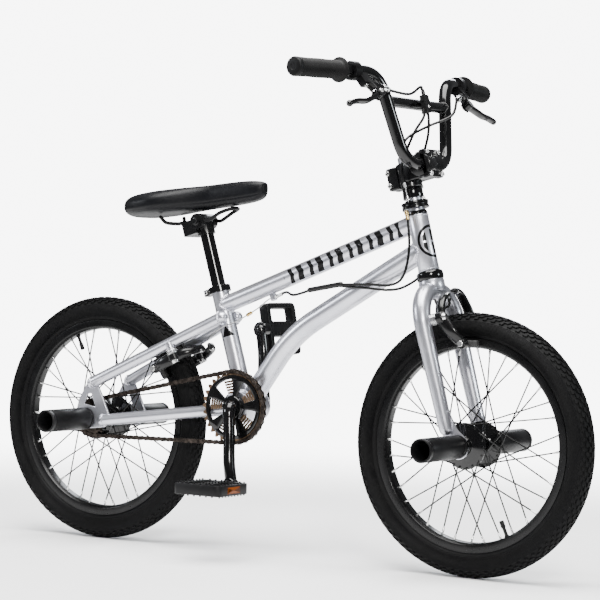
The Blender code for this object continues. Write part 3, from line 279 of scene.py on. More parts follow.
def makeLooks():
    looks = {}
    looks["silver"] = silverPaint("silverPaint")
    looks["glossBlack"] = plainLook("glossBlackPaint", ((0.0014, 0.0014, 0.0016), (0.003, 0.003, 0.0032)), 0.13, 0.04,
                                    grain=140, height=0.00003, marks=0.2, markTone=(0.02, 0.02, 0.02),
                                    Coat_Weight=0.25, Coat_Roughness=0.05, Specular_IOR_Level=0.25)
    looks["rimBlack"] = plainLook("rimBlackAnodise", ((0.0018, 0.0018, 0.002), (0.004, 0.004, 0.0042)), 0.28, 0.05,
                                  grain=500, marks=0.3, markTone=(0.03, 0.03, 0.03), Coat_Weight=0.1,
                                  Coat_Roughness=0.15, Specular_IOR_Level=0.15)
    looks["satinBlack"] = plainLook("satinBlackPaint", ((0.0025, 0.0025, 0.0028), (0.005, 0.005, 0.0054)), 0.40, 0.07,
                                    grain=300, marks=0.4, markTone=(0.03, 0.03, 0.03), Specular_IOR_Level=0.12)
    looks["alloyBlack"] = plainLook("blackForgedAlloy", ((0.0018, 0.0018, 0.002), (0.004, 0.004, 0.0043)), 0.24, 0.06,
                                    grain=1100, height=0.00002, marks=0.15, markTone=(0.04, 0.04, 0.04),
                                    Coat_Weight=0.1, Coat_Roughness=0.15, Specular_IOR_Level=0.25)
    looks["spokeBlack"] = plainLook("blackSpoke", ((0.0015, 0.0015, 0.0015), (0.003, 0.003, 0.003)), 0.4, 0.05,
                                    grain=600, Specular_IOR_Level=0.2)
    looks["tyre"] = tyreLook()
    looks["grip"] = plainLook("gripRubber", ((0.003, 0.003, 0.0032), (0.006, 0.006, 0.0063)), 0.50, 0.08, grain=1400,
                              height=0.00018, marks=0.25, markTone=(0.02, 0.02, 0.02), Specular_IOR_Level=0.12)
    looks["vinyl"] = vinylLook()
    looks["steel"] = plainLook("brightSteel", ((0.58, 0.58, 0.58), (0.72, 0.72, 0.71)), 0.24, 0.08, metallic=1.0,
                               grain=900, stretch=(1, 6, 1), marks=0.3, markTone=(0.30, 0.28, 0.25))
    looks["chain"] = plainLook("oiledChainSteel", ((0.018, 0.014, 0.012), (0.055, 0.044, 0.037)), 0.36, 0.12,
                               metallic=0.9, grain=700, clouds=160, marks=0.4, markTone=(0.12, 0.10, 0.085))
    looks["bronze"] = plainLook("bronzePlate", ((0.085, 0.055, 0.034), (0.125, 0.083, 0.052)), 0.36, 0.08,
                                metallic=0.85, grain=800, clouds=60, marks=0.4, markTone=(0.08, 0.05, 0.03))
    looks["brass"] = plainLook("brass", ((0.62, 0.42, 0.17), (0.74, 0.54, 0.25)), 0.28, 0.08, metallic=1.0,
                               grain=900)
    looks["housing"] = plainLook("cableHousing", ((0.0015, 0.0015, 0.0015), (0.003, 0.003, 0.003)), 0.30, 0.05,
                                 grain=420, height=0.00005, Specular_IOR_Level=0.3)
    looks["wire"] = plainLook("strandedWire", ((0.34, 0.34, 0.34), (0.50, 0.50, 0.50)), 0.35, 0.1, metallic=1.0,
                              grain=2200, height=0.0001)
    looks["nylon"] = plainLook("mouldedNylon", ((0.003, 0.003, 0.0033), (0.006, 0.006, 0.0063)), 0.42, 0.07,
                               grain=900, height=0.00010, marks=0.35, markTone=(0.02, 0.02, 0.02),
                               Specular_IOR_Level=0.15)
    looks["pad"] = plainLook("brakeRubber", ((0.006, 0.006, 0.0062), (0.013, 0.013, 0.013)), 0.7, 0.06, grain=700)
    looks["amber"] = amberLook()
    return looks


def tyreLook():
    # carbon-black rubber, dusty in the tread and along the sidewall, with a very fine moulded grain
    look = Look("tyreRubber", Specular_IOR_Level=0.10)
    dust = look.noise(26, 5, 0.65).between(0.42, 0.72)
    grain = look.noise(1500, 2)
    colour = look.blend(dust * 0.5, (0.0016, 0.0016, 0.0018), (0.006, 0.0059, 0.0057))
    look.feed("Base Color", colour).feed("Roughness", 0.58 + dust * 0.18 + (grain - 0.5) * 0.12)
    return look.bump(grain, 0.00018, 0.6).material


def vinylLook():
    # smooth black vinyl with a shallow leather grain; the same slow noise patches are painted a little lighter and
    # bluer as a painted sheen, and are made a little rougher as wear
    look = Look("saddleVinyl", Specular_IOR_Level=0.15)
    cell = look.node("ShaderNodeTexVoronoi", dict(feature="DISTANCE_TO_EDGE"), {"Vector": look.place, "Scale": 520.0})
    crease = cell.between(0.0, 0.16)
    wearAndSheen = look.noise(14, 4).between(0.5, 0.8)
    # painted sheen: the noise patches lift the black towards a lighter blue
    look.feed("Base Color", look.blend(wearAndSheen * 0.5, (0.0022, 0.0024, 0.0032), (0.006, 0.0064, 0.0085)))
    look.feed("Roughness", 0.40 + wearAndSheen * 0.12 - crease * 0.05)
    return look.bump(crease + look.noise(900, 2) * 0.3, 0.00013, 0.5).material


def amberLook():
    # a moulded reflector: small square prisms under an orange face
    look = Look("amberReflector", Coat_Weight=0.1, Coat_Roughness=0.1, Specular_IOR_Level=0.25)
    rows = [abs((look.along(way) * 420).fraction() - 0.5) for way in ((1, 0, 0), (0, 0, 1))]
    prism = rows[0].most(rows[1]) * 2
    look.feed("Base Color", look.blend(prism, (0.42, 0.13, 0.008), (0.20, 0.045, 0.003)))
    look.feed("Roughness", 0.12 + prism * 0.15)
    return look.bump(prism, 0.0004, 0.7).material


# ---- mesh tools: shapes are (points, faces) and are joined when a piece is made
def skin(grid, loop=False):
    # rows of points, each closed on itself, joined row to row by quads; open ends get a fan to a middle point
    rows, columns = grid.shape[:2]
    index = np.arange(rows * columns).reshape(rows, columns)
    here = index if loop else index[:-1]
    after = np.roll(index, -1, 0) if loop else index[1:]
    quads = np.stack([here, np.roll(here, -1, 1), np.roll(after, -1, 1), after], -1).reshape(-1, 4)
    points, faces = grid.reshape(-1, 3), quads.tolist()
    if not loop:
        for row, order in ((0, (1, 0, 2)), (-1, (0, 1, 2))):
            hub = np.full(columns, len(points))
            fan = np.stack([index[row], np.roll(index[row], -1), hub], -1)[:, order]
            points = np.vstack([points, grid[row].mean(0)])
            faces += fan.tolist()
    return points, faces


def carried(path, loop, reference):
    # tangents from the neighbours; the cross direction is carried along, or follows a given reference
    tangent = np.roll(path, -1, 0) - np.roll(path, 1, 0)
    if not loop:
        tangent[0], tangent[-1] = path[1] - path[0], path[-1] - path[-2]
    tangent /= np.linalg.norm(tangent, axis=1)[:, None]
    if reference is not None:
        across = np.broadcast_to(reference, path.shape)
        across = across - tangent * np.sum(across * tangent, 1)[:, None]
        across = across / np.linalg.norm(across, axis=1)[:, None]
    else:
        across = np.empty_like(path)
        here = np.eye(3)[np.argmin(np.abs(tangent[0]))]
        for station, way in enumerate(tangent):
            here = unit(here - way * (here @ way))
            across[station] = here
    return tangent, across, np.cross(tangent, across)


def sweep(path, radius, count=32, loop=False, reference=None, flat=1.0):
    # a ring of count points, of the given radius, carried along the path; flat squeezes it across
    path = np.asarray(path, float)
    tangent, across, over = carried(path, loop, reference)
    turn = np.arange(count) * tau / count
    radius = np.broadcast_to(np.asarray(radius, float), len(path))[:, None, None]
    flat = np.broadcast_to(np.asarray(flat, float), len(path))[:, None, None]
    ring = across[:, None] * np.cos(turn)[None, :, None] + over[:, None] * np.sin(turn)[None, :, None] * flat
    return skin(path[:, None] + ring * radius, loop)


def domed(path, radius, count=24, reference=None, flat=1.0, steps=5):
    # a swept bar whose two ends are rounded over like half a ball
    path = np.asarray(path, float)
    radius = np.broadcast_to(np.asarray(radius, float), len(path))
    angle = np.linspace(math.pi / 2, 0.0, steps + 1)[:-1] - 0.08
    first, last = unit(path[0] - path[1]), unit(path[-1] - path[-2])
    head = path[0] + np.sin(angle)[:, None] * first * radius[0]
    tail = (path[-1] + np.sin(angle)[:, None] * last * radius[-1])[::-1]
    radii = np.concatenate([np.cos(angle) * radius[0], radius, (np.cos(angle) * radius[-1])[::-1]])
    flat = np.pad(np.broadcast_to(np.asarray(flat, float), len(path)), steps, "edge")
    return sweep(np.vstack([head, path, tail]), radii, count, False, reference, flat)


def basis(axis):
    axis = unit(axis)
    ahead = np.array([1.0, 0, 0]) if abs(axis[0]) < 0.9 else upWay
    across = unit(np.cross(axis, ahead))
    return np.cross(across, axis), across, axis


def lathe(profile, centre, axis, count=64, loop=False, turned=0.0):
    # (radius, height) rows turned about the axis; a loop profile closes on itself, an open one gets its ends filled
    first, second, axis = basis(axis)
    turn = np.arange(count) * tau / count + turned
    around = np.cos(turn)[:, None] * first + np.sin(turn)[:, None] * second
    profile = np.asarray(profile, float)
    grid = centre + profile[:, 0, None, None] * around[None] + profile[:, 1, None, None] * axis
    return skin(grid, loop)


def softened(corners, reach, steps=4, closed=True):
    # corners become short curves that start reach before them; on a closed outline never past half an edge
    corners = [np.asarray(c, float) for c in corners]
    count = len(corners)
    route = []
    for index in range(count):
        before, corner, after = corners[index - 1], corners[index], corners[(index + 1) % count]
        if not closed and index in (0, count - 1):
            route.append(corner[None])
            continue
        room = reach
        if closed:
            room = min(reach, np.linalg.norm(before - corner) * 0.45, np.linalg.norm(after - corner) * 0.45)
        start, end = corner + unit(before - corner) * room, corner + unit(after - corner) * room
        t = np.linspace(0, 1, steps + 1)[:, None]
        route.append(start * (1 - t) ** 2 + corner * 2 * t * (1 - t) + end * t ** 2)
    return np.vstack(route)


def rounded(corners, reach, steps=16):
    return softened(corners, reach, steps, closed=False)


def smoothRoute(corners, count=10):
    # a Catmull-Rom curve through the corners
    corners = np.asarray(corners, float)
    ends = np.vstack([2 * corners[0] - corners[1], corners, 2 * corners[-1] - corners[-2]])
    t = np.arange(count)[:, None] / count
    spans = [0.5 * (2 * b + (c - a) * t + (2 * a - 5 * b + 4 * c - d) * t ** 2 + (3 * b - a - 3 * c + d) * t ** 3)
             for a, b, c, d in zip(ends, ends[1:], ends[2:], ends[3:])]
    return np.vstack([*spans, corners[-1:]])


def stretchedOut(path, step=0.01):
    # a straight run split into short stations
    path = np.asarray(path, float)
    count = max(2, int(np.linalg.norm(path[-1] - path[0]) / step))
    return path[0] + (path[-1] - path[0]) * np.linspace(0, 1, count + 1)[:, None]


def stencil(outlines, thick, edge, origin, xWay, yWay):
    # a flat plate with holes: the first outline is the edge, the others are cut out, and both rims are eased
    curve = bpy.data.curves.new("stencil", "CURVE")
    curve.dimensions = "2D"
    curve.fill_mode = "BOTH"
    curve.extrude = thick / 2 - edge
    curve.bevel_depth = edge
    curve.bevel_resolution = 1
    curve.offset = -edge
    for outline in outlines:
        spline = curve.splines.new("POLY")
        spline.points.add(len(outline) - 1)
        spline.points.foreach_set("co", np.column_stack([outline, np.zeros(len(outline)), np.ones(len(outline))])
                                  .ravel())
        spline.use_cyclic_u = True
    holder = bpy.data.objects.new("stencil", curve)
    bpy.context.scene.collection.objects.link(holder)
    mesh = bpy.data.meshes.new_from_object(holder.evaluated_get(bpy.context.evaluated_depsgraph_get()))
    points = np.empty(len(mesh.vertices) * 3)
    mesh.vertices.foreach_get("co", points)
    points = points.reshape(-1, 3)
    zWay = np.cross(xWay, yWay)
    placed = origin + points @ np.stack([xWay, yWay, zWay])
    faces = [list(face.vertices) for face in mesh.polygons]
    bpy.data.objects.remove(holder)
    return placed, faces


def brick(centre, size, ahead, up, ease=0.15):
    # a block with rounded long edges: a softened rectangle stretched along ahead, its ends eased
    ahead, up = unit(ahead), unit(up)
    across = np.cross(up, ahead)
    wide, tall = size[1] / 2, size[2] / 2
    reach = ease * min(size)
    outline = softened([(-wide, -tall), (wide, -tall), (wide, tall), (-wide, tall)], reach, 4)
    half = size[0] / 2
    stations = [(-half, 1 - reach * 0.9 / wide, 1 - reach * 0.9 / tall), (-half + reach * 0.35, 1 - reach * 0.25 / wide,
                1 - reach * 0.25 / tall), (-half + reach, 1, 1)]
    stations += [(-x, a, b) for x, a, b in reversed(stations)]
    grid = np.array([centre + ahead * x + across * outline[:, :1] * a + up * outline[:, 1:] * b
                     for x, a, b in stations])
    return skin(grid)


def capScrew(at, axis, radius=0.004, height=0.004, socket=0.5):
    # a socket-head screw: an eased drum with a round socket sunk in its top
    wall = socket * radius
    profile = [(radius, 0), (radius, height - radius * 0.2), (radius * 0.93, height - radius * 0.06),
               (radius * 0.85, height), (wall * 1.12, height)]
    drum = lathe(profile + [(wall, height - radius * 0.12), (wall, height - radius * 0.9), (0.0001, height - radius)],
                 at, axis, 24)
    return drum


def hexNut(at, axis, radius=0.006, height=0.005):
    return lathe([(radius * 0.88, 0), (radius, height * 0.12), (radius, height * 0.88), (radius * 0.88, height)],
                 at, axis, 6)


def ringBead(centre, axis, radius, bead=0.0022, count=64):
    # a weld bead round a bar: a circle of small ripples
    first, second, _ = basis(axis)
    turn = np.arange(count) * tau / count
    out = np.cos(turn)[:, None] * first + np.sin(turn)[:, None] * second
    return sweep(centre + out * radius, bead * (1 + 0.13 * np.cos(turn * 22)), 10, True, out)


def weldBead(start, way, radius, centre, axis, wall, bead=0.0021, count=120):
    # the seam where a tube meets a round wall: each line along the tube is cut by the wall's cylinder
    first, second, way = basis(way)
    axis = unit(axis)
    turn = np.arange(count) * tau / count
    out = np.cos(turn)[:, None] * first + np.sin(turn)[:, None] * second
    line = start + out * radius
    gap = line - centre
    gap = gap - (gap @ axis)[:, None] * axis
    run = way - (way @ axis) * axis
    a, b, c = run @ run, gap @ run, np.sum(gap * gap, 1) - wall ** 2
    reach = (-b - np.sqrt(np.maximum(b * b - a * c, 0))) / a
    seam = line + reach[:, None] * way
    return sweep(seam, bead * (1 + 0.16 * np.cos(turn * 30)), 10, True, out)


def piece(name, shapes, look, body, slot=None, replaces=(), sharp=40):
    # joins the shapes into one mesh, closes their seams, turns faces outwards and hands it to the frame
    points, faces, base = [], [], 0
    for shapePoints, shapeFaces in shapes:
        points.append(shapePoints)
        faces += [[corner + base for corner in face] for face in shapeFaces]
        base += len(shapePoints)
    mesh = bpy.data.meshes.new(name)
    mesh.from_pydata(np.vstack(points).tolist(), [], faces)
    closed = bmesh.new()
    closed.from_mesh(mesh)
    bmesh.ops.remove_doubles(closed, verts=closed.verts, dist=2e-6)
    bmesh.ops.recalc_face_normals(closed, faces=closed.faces)
    closed.to_mesh(mesh)
    closed.free()
    return hand(bpy.data.objects.new(name, mesh), look, body, slot, replaces, sharp)


def hand(made, look, body, slot, replaces, sharp):
    bpy.context.scene.collection.objects.link(made)
    made.data.materials.clear()
    made.data.materials.append(look)
    made.data.shade_smooth()
    made.data.set_sharp_from_angle(angle=math.radians(sharp))
    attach(made, body)
    if replaces:
        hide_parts(*replaces)
    return made


def eased(node, look, body, slot, width=0.0008, sharp=32):
    # a copy of a CAD node with its loose triangles merged and its sharp edges bevelled
    mesh = frame["nodes"][node].data.copy()
    whole = bmesh.new()
    whole.from_mesh(mesh)
    bmesh.ops.remove_doubles(whole, verts=whole.verts, dist=2e-6)
    bmesh.ops.dissolve_limit(whole, angle_limit=math.radians(1.0), verts=whole.verts, edges=whole.edges)
    whole.to_mesh(mesh)
    whole.free()
    made = hand(bpy.data.objects.new(node + "_eased", mesh), look, body, slot, (node,), sharp)
    bevel = made.modifiers.new("ease", "BEVEL")
    bevel.width = width
    bevel.segments = 2
    bevel.limit_method = "ANGLE"
    bevel.angle_limit = math.radians(sharp)
    bevel.harden_normals = False
    return made


# ---- frame: head tube, three main tubes, stays, dropouts and the bracket shell
tubes = dict(headRadius=0.0185, seatRadius=0.0159, topRadius=0.0159, downRadius=0.019, stayRadius=0.0111,
             topFrom=np.array([-0.1319, 0, 0.4471]), topTo=np.array([0.2742, 0, 0.6073]),
             downBend=np.array([0.0214, 0, 0.401]), downTo=np.array([0.2795, 0, 0.5558]), shellRadius=0.0285,
             shellHalf=0.034, seatLength=0.226, cableStop=np.array([-0.0238, 0, 0.4655]))
topWay = unit(tubes["topTo"] - tubes["topFrom"])
rearBrakeUp = unit([0.895, 0, 0.446])
rearBrakeOut = np.array([rearBrakeUp[2], 0, -rearBrakeUp[0]])


def frontPivot(side):
    return onSteerer(0.2160, 0.0170, side * 0.052)


def rearPivot(side):
    return np.array([-0.2200, side * 0.044, 0.3745]) + rearBrakeOut * 0.012


def wrapped(look, axis, origin, ahead):
    # distance round a tube from the line that faces ahead, and the distance along it
    side = np.cross(axis, ahead)
    turn = look.along(side, origin).maths("ARCTAN2", look.along(ahead, origin))
    return turn, look.along(axis, origin)


def topTubeMarks(look):
    # a row of slanting bars of changing width on both flanks
    run = look.along(topWay, tubes["topFrom"])
    rise = look.along(np.cross(topWay, leftWay), tubes["topFrom"])
    slant = run + abs(rise + 0.001) * 0.5
    bars = ((slant * 46).fraction() - 0.42).between(-0.02, 0.02)
    thin = ((slant * 23 + 0.2).fraction() - 0.86).between(-0.01, 0.01)
    field = (run.between(0.150, 0.151) * (1 - run.between(0.404, 0.405))
             * (1 - abs(rise + 0.001).between(0.0130, 0.0134)))
    flank = abs(look.along(leftWay)).between(0.0055, 0.0062)
    return bars * (1 - thin) * field * flank


def headBadge(look):
    # a plain ring round three upright bars, wrapped about the front of the tube
    turn, along = wrapped(look, steerUp, onSteerer(0.356), steerForward)
    across = turn * tubes["headRadius"]
    reach = (along * along + across * across).power(0.5)
    ring = 1 - abs(reach - 0.0270).between(0.0022, 0.0026)
    inside = 1 - reach.between(0.0215, 0.0219)
    bars = 1 - abs((across * 62 + 0.5).fraction() - 0.5).between(0.20, 0.24)
    gap = abs(along).between(0.0016, 0.0020)
    return ring.most(inside * bars * gap)


def seatTubeMark(look):
    # a plain upright triangle
    rise = look.along(seatUp, onSeatTube(0.140))
    across = look.along(seatForward, onSeatTube(0.140, 0.004))
    inside = 1 - (abs(across) * 1.9 + rise).between(0.0110, 0.0115)
    return inside * rise.between(-0.0095, -0.0090) * (1 - look.along(leftWay).between(-0.001, 0.001))


def makeFrame(looks):
    silver = looks["silver"]
    t = tubes
    radius = t["headRadius"]
    piece("headTube", [lathe([(radius - 0.0006, 0.306), (radius, 0.3068), (radius, 0.4052), (radius - 0.0006, 0.406)],
                             steerFoot, steerUp, 72),
                       *[ringBead(steerFoot + steerUp * at, steerUp, radius, 0.0007) for at in (0.3085, 0.4035)]],
          silverPaint("silverPaintBadge", headBadge), "frame", "silver_paint", ["head_tube"])
    piece("topTube", [sweep(stretchedOut([t["topFrom"], t["topTo"]]), t["topRadius"], 48)],
          silverPaint("silverPaintBars", topTubeMarks), "frame", "silver_paint", ["top_tube"])
    piece("seatTube", [sweep(stretchedOut([onSeatTube(0.026), onSeatTube(t["seatLength"])]), t["seatRadius"], 48)],
          silverPaint("silverPaintTriangle", seatTubeMark), "frame", "silver_paint", ["seat_tube"])
    down = rounded([bracket + np.array([0.012, 0, 0.0168]), t["downBend"], t["downTo"]], 0.055, 20)
    piece("downTube", [sweep(down, t["downRadius"], 56, False, leftWay)], silver, "frame", "silver_paint",
          ["down_tube"])
    shell, half = t["shellRadius"], t["shellHalf"]
    rim = [(shell - 0.003, -half), (shell - 0.0006, -half), (shell, -half + 0.0008), (shell, half - 0.0008),
           (shell - 0.0006, half), (shell - 0.003, half)]
    piece("bracketShell", [lathe(rim, bracket, leftWay, 72, True)], silver, "frame", "silver_paint",
          ["bottom_bracket_shell"])
    seatWall = (onSeatTube(0.0), seatUp, t["seatRadius"])
    shellWall = (bracket, leftWay, shell)
    headWall = (steerFoot, steerUp, radius)
    seams = []

    def seam(start, way, tubeRadius, wall, bead=0.0021):
        seams.append(weldBead(np.asarray(start, float), way, tubeRadius, *wall, bead))

    seam(t["topFrom"] + topWay * 0.2, topWay, t["topRadius"], headWall)
    seam(t["topTo"] - topWay * 0.2, -topWay, t["topRadius"] * 0.985, seatWall)
    seam(down[-1] + (down[-2] - down[-1]) * 0.6, down[-1] - down[-2], t["downRadius"] * 0.96, headWall)
    seam(down[0] + (down[1] - down[0]) * 0.6, down[0] - down[1], t["downRadius"], shellWall)
    seam(onSeatTube(0.12), -seatUp, t["seatRadius"], shellWall)
    for name, side in sides:
        seatStay = mirrored([-0.3830, 0.0575, 0.2950], side), mirrored([-0.1180, 0.0240, 0.4267], side)
        chainStay = mirrored([-0.3560, 0.0575, 0.2265], side), mirrored([-0.0745, 0.0200, 0.2640], side)
        boss = lathe([(0.0075, -0.014), (0.0078, 0.0062), (0.0068, 0.009)], rearPivot(side), rearBrakeOut, 28)
        piece(name + "SeatStay", [domed(stretchedOut(seatStay), t["stayRadius"] * 0.98, 32), boss], silver, "frame",
              "silver_paint", [name + "_seat_stay"])
        piece(name + "ChainStay", [domed(stretchedOut(chainStay), t["stayRadius"] * 0.98, 32)], silver, "frame",
              "silver_paint", [name + "_chain_stay"])
        eased(name + "_dropout", silver, "frame", "silver_paint", 0.0010)
        seam(seatStay[0], seatStay[1] - seatStay[0], t["stayRadius"], seatWall, 0.0018)
        seam(chainStay[0], chainStay[1] - chainStay[0], t["stayRadius"], shellWall, 0.0018)
        for end, way in ((seatStay[0], seatStay[1] - seatStay[0]), (chainStay[0], chainStay[1] - chainStay[0])):
            seams.append(ringBead(end + unit(way) * 0.001, way, t["stayRadius"] * 0.94, 0.0016, 48))
    stop = brick(t["cableStop"] + upWay * 0.0035, (0.010, 0.009, 0.017), topWay, np.cross(topWay, leftWay) * -1)
    seams.append(stop)
    piece("frameWelds", seams, silver, "frame", "silver_paint")


# ---- headset, detangler, fork, stem
headset = dict(lowerCup=[(0.0146, 0.2905), (0.0224, 0.2905), (0.0233, 0.2925), (0.0235, 0.2960), (0.0235, 0.3006),
                         (0.0225, 0.3040), (0.0205, 0.3057), (0.0146, 0.3057)],
               upperCup=[(0.0146, 0.4063), (0.0180, 0.4063), (0.0184, 0.4070), (0.0184, 0.4092), (0.0172, 0.4130),
                         (0.0146, 0.4133)],
               spacer=[(0.0146, 0.4365), (0.0180, 0.4365), (0.0185, 0.4375), (0.0172, 0.4520), (0.0166, 0.4547),
                       (0.0146, 0.4547)],
               bearing=[(0.0155, 0.4213), (0.0220, 0.4213), (0.0225, 0.4220), (0.0225, 0.4253), (0.0220, 0.4260),
                        (0.0155, 0.4260)],
               adjusterRadius=0.0040)


def knurled(centre, axis, radius, low, high, count=40):
    # a drum whose wall waves in and out with fine grooves
    first, second, axis = basis(axis)
    turn = np.arange(count) * tau / count
    around = np.cos(turn)[:, None] * first + np.sin(turn)[:, None] * second
    wave = 1 - 0.07 * (np.arange(count) % 2)
    rows = [(low, radius * 0.86, 0), (low + 0.0006, radius, 1), (high - 0.0006, radius, 1), (high, radius * 0.86, 0)]
    grid = np.array([centre + axis * at + around * (r * (wave if waved else 1 + 0 * wave))[:, None]
                     for at, r, waved in rows])
    return skin(grid)


def makeHeadset(looks):
    gloss, steel = looks["glossBlack"], looks["steel"]
    piece("headsetLowerCup", [lathe(headset["lowerCup"], steerFoot, steerUp, 72, True)], gloss, "frame",
          "gloss_black", ["headset_lower_cup"])
    piece("headsetUpperCup", [lathe(headset["upperCup"], steerFoot, steerUp, 72, True)], gloss, "frame",
          "gloss_black", ["headset_upper_cup"])
    piece("headsetSpacer", [lathe(headset["spacer"], steerFoot, steerUp, 72, True)], gloss, "steering",
          "gloss_black", ["headset_spacer"])
    piece("gyroBearing", [lathe(headset["bearing"], steerFoot, steerUp, 72, True)], looks["alloyBlack"], "gyro_lower",
          "black_alloy", ["gyro_bearing"])
    eased("gyro_lower_plate", looks["alloyBlack"], "gyro_lower", "black_alloy", 0.0005)
    eased("gyro_upper_plate", looks["alloyBlack"], "gyro_upper", "black_alloy", 0.0005)
    radius = headset["adjusterRadius"]
    upper, lower, nuts = [], [], []
    for name, side in sides:
        high, low = onSteerer(0, 0.004, side * 0.029), onSteerer(0, -0.004, side * 0.029)
        upper.append(knurled(high, steerUp, radius, 0.4300, 0.4345, 24))
        upper.append(lathe([(0.0026, 0.4343), (0.0026, 0.4392), (0.0018, 0.4400)], high, steerUp, 16))
        nuts.append(hexNut(low + steerUp * 0.4140, steerUp, radius * 1.15, 0.0034))
        lower.append(knurled(low, steerUp, radius, 0.4070, 0.4138, 24))
        lower.append(lathe([(0.0033, 0.3985), (0.0035, 0.4072)], low, steerUp, 16))
    piece("gyroUpperAdjusters", upper, steel, "gyro_upper", "bright_steel")
    piece("gyroLowerAdjusters", lower, looks["brass"], "gyro_lower", "bright_steel")
    piece("gyroLowerNuts", nuts, steel, "gyro_lower", "bright_steel")


forkShape = dict(radius=0.0148, tapers=(0.80, 1.0, 1.05, 1.08, 1.08, 1.08), foot=(0.030, 0.002, 0.060),
                 tip=[(-0.010, 0.060), (0.010, 0.060), (0.019, 0.024), (0.031, 0.008), (0.032, -0.012),
                      (0.024, -0.025), (0.007, -0.026), (-0.003, -0.014), (-0.010, 0.010)])


def makeFork(looks):
    half = [onSteerer(*forkShape["foot"]), onSteerer(0.19, 0, 0.060), onSteerer(0.225, 0, 0.058),
            onSteerer(0.248, 0, 0.049), onSteerer(0.264, 0, 0.033), onSteerer(0.270, 0, 0.016)]
    corners = half + [onSteerer(0.271)] + [mirrored(point, -1) for point in half[::-1]]
    tapers = [*forkShape["tapers"], 1.08, *forkShape["tapers"][::-1]]
    path = smoothRoute(corners, 10)
    radii = np.interp(np.arange(len(path)) / 10, np.arange(len(tapers)), tapers) * forkShape["radius"]
    shapes = [domed(path, radii, 40),
              lathe([(0.0205, 0.2690), (0.0225, 0.2720), (0.0225, 0.2870), (0.0212, 0.2900)], steerFoot, steerUp, 72),
              lathe([(0.0143, 0.262), (0.0143, 0.5095), (0.0138, 0.5100)], steerFoot, steerUp, 48)]
    for name, side in sides:
        outline = softened(forkShape["tip"], 0.006, 5)
        shapes.append(stencil([outline], 0.005, 0.0009, steerFoot + leftWay * side * 0.0525, steerForward, steerUp))
        shapes.append(lathe([(0.0075, -0.014), (0.0078, 0.0062), (0.0068, 0.009)], frontPivot(side), steerForward, 28))
        shapes.append(ringBead(onSteerer(0.0585, 0.002, side * 0.0585), steerUp, 0.0115, 0.0016, 48))
    piece("forkLegs", shapes, looks["silver"], "steering", "silver_paint", ["fork"])


stemShape = dict(clamp=np.array([0.2865, 0, 0.7065]), boltSpread=0.019, boltRise=0.0195, pinch=(0.466, 0.488))


def makeStem(looks):
    clamp, bolts = stemShape["clamp"], []
    along, ahead = (clamp - steerFoot) @ steerUp, (clamp - steerFoot) @ steerForward
    drum = [(0.0190, -0.026), (0.0205, -0.0248), (0.0205, -0.0010), (0.0201, 0.0), (0.0205, 0.0010),
            (0.0205, 0.0248), (0.0190, 0.026)]
    sleeve = [(0.0188, 0.455), (0.0200, 0.4562), (0.0200, 0.4978), (0.0188, 0.499)]
    lug = [brick(onSteerer(0.477, -0.025, side * 0.0093), (0.022, 0.0154, 0.040), steerForward, steerUp, 0.22)
           for side in (-1, 1)]
    piece("stemBody", [lathe(drum, clamp, leftWay, 64), lathe(sleeve, steerFoot, steerUp, 64), *lug,
                       brick(onSteerer(along - 0.006, ahead / 2 + 0.002), (ahead, 0.046, 0.034), steerForward, steerUp,
                             0.12)], looks["alloyBlack"], "steering", "black_alloy", ["stem"])
    piece("stemFacePlate", [brick(clamp + steerForward * 0.0085, (0.013, 0.052, 0.050), steerForward, steerUp, 0.22),
                            brick(clamp + steerForward * 0.0010, (0.010, 0.0516, 0.044), steerForward, steerUp, 0.1)],
          looks["alloyBlack"], "steering", "black_alloy", ["stem_face_plate"])
    for across in (-1, 1):
        for over in (-1, 1):
            at = (clamp + steerForward * 0.0148 + leftWay * across * stemShape["boltSpread"]
                  + steerUp * over * stemShape["boltRise"])
            bolts.append(capScrew(at, steerForward, 0.0042, 0.0040))
    for along in stemShape["pinch"]:
        bolts.append(capScrew(onSteerer(along, -0.0310, -0.0168), -leftWay, 0.0042, 0.0040))
    piece("stemBolts", bolts, looks["steel"], "steering", "bright_steel")
    piece("stemBoltNuts", [hexNut(onSteerer(along, -0.0310, 0.0168), leftWay, 0.0046, 0.0034)
                           for along in stemShape["pinch"]], looks["brass"], "steering", "bright_steel")
    cap = [(0.0046, 0.5075), (0.0128, 0.5075), (0.0138, 0.5085), (0.0138, 0.5105), (0.0126, 0.5118), (0.0060, 0.5124),
           (0.0046, 0.5116)]
    piece("steererCap", [lathe(cap, steerFoot, steerUp, 56, True)], looks["glossBlack"], "steering", "gloss_black")


# ---- handlebar, grips and levers
bars = dict(radius=0.0111, lower=np.array([0.2845, 0.0720, 0.7095]), upper=np.array([0.2515, 0.1160, 0.8575]),
            end=np.array([0.2165, 0.3227, 0.8524]), tieLevel=0.811, tieRadius=0.0098, gripLength=0.116,
            gripRadius=0.0165, flange=0.0215, ribs=30)
gripWay = unit(bars["end"] - bars["upper"])


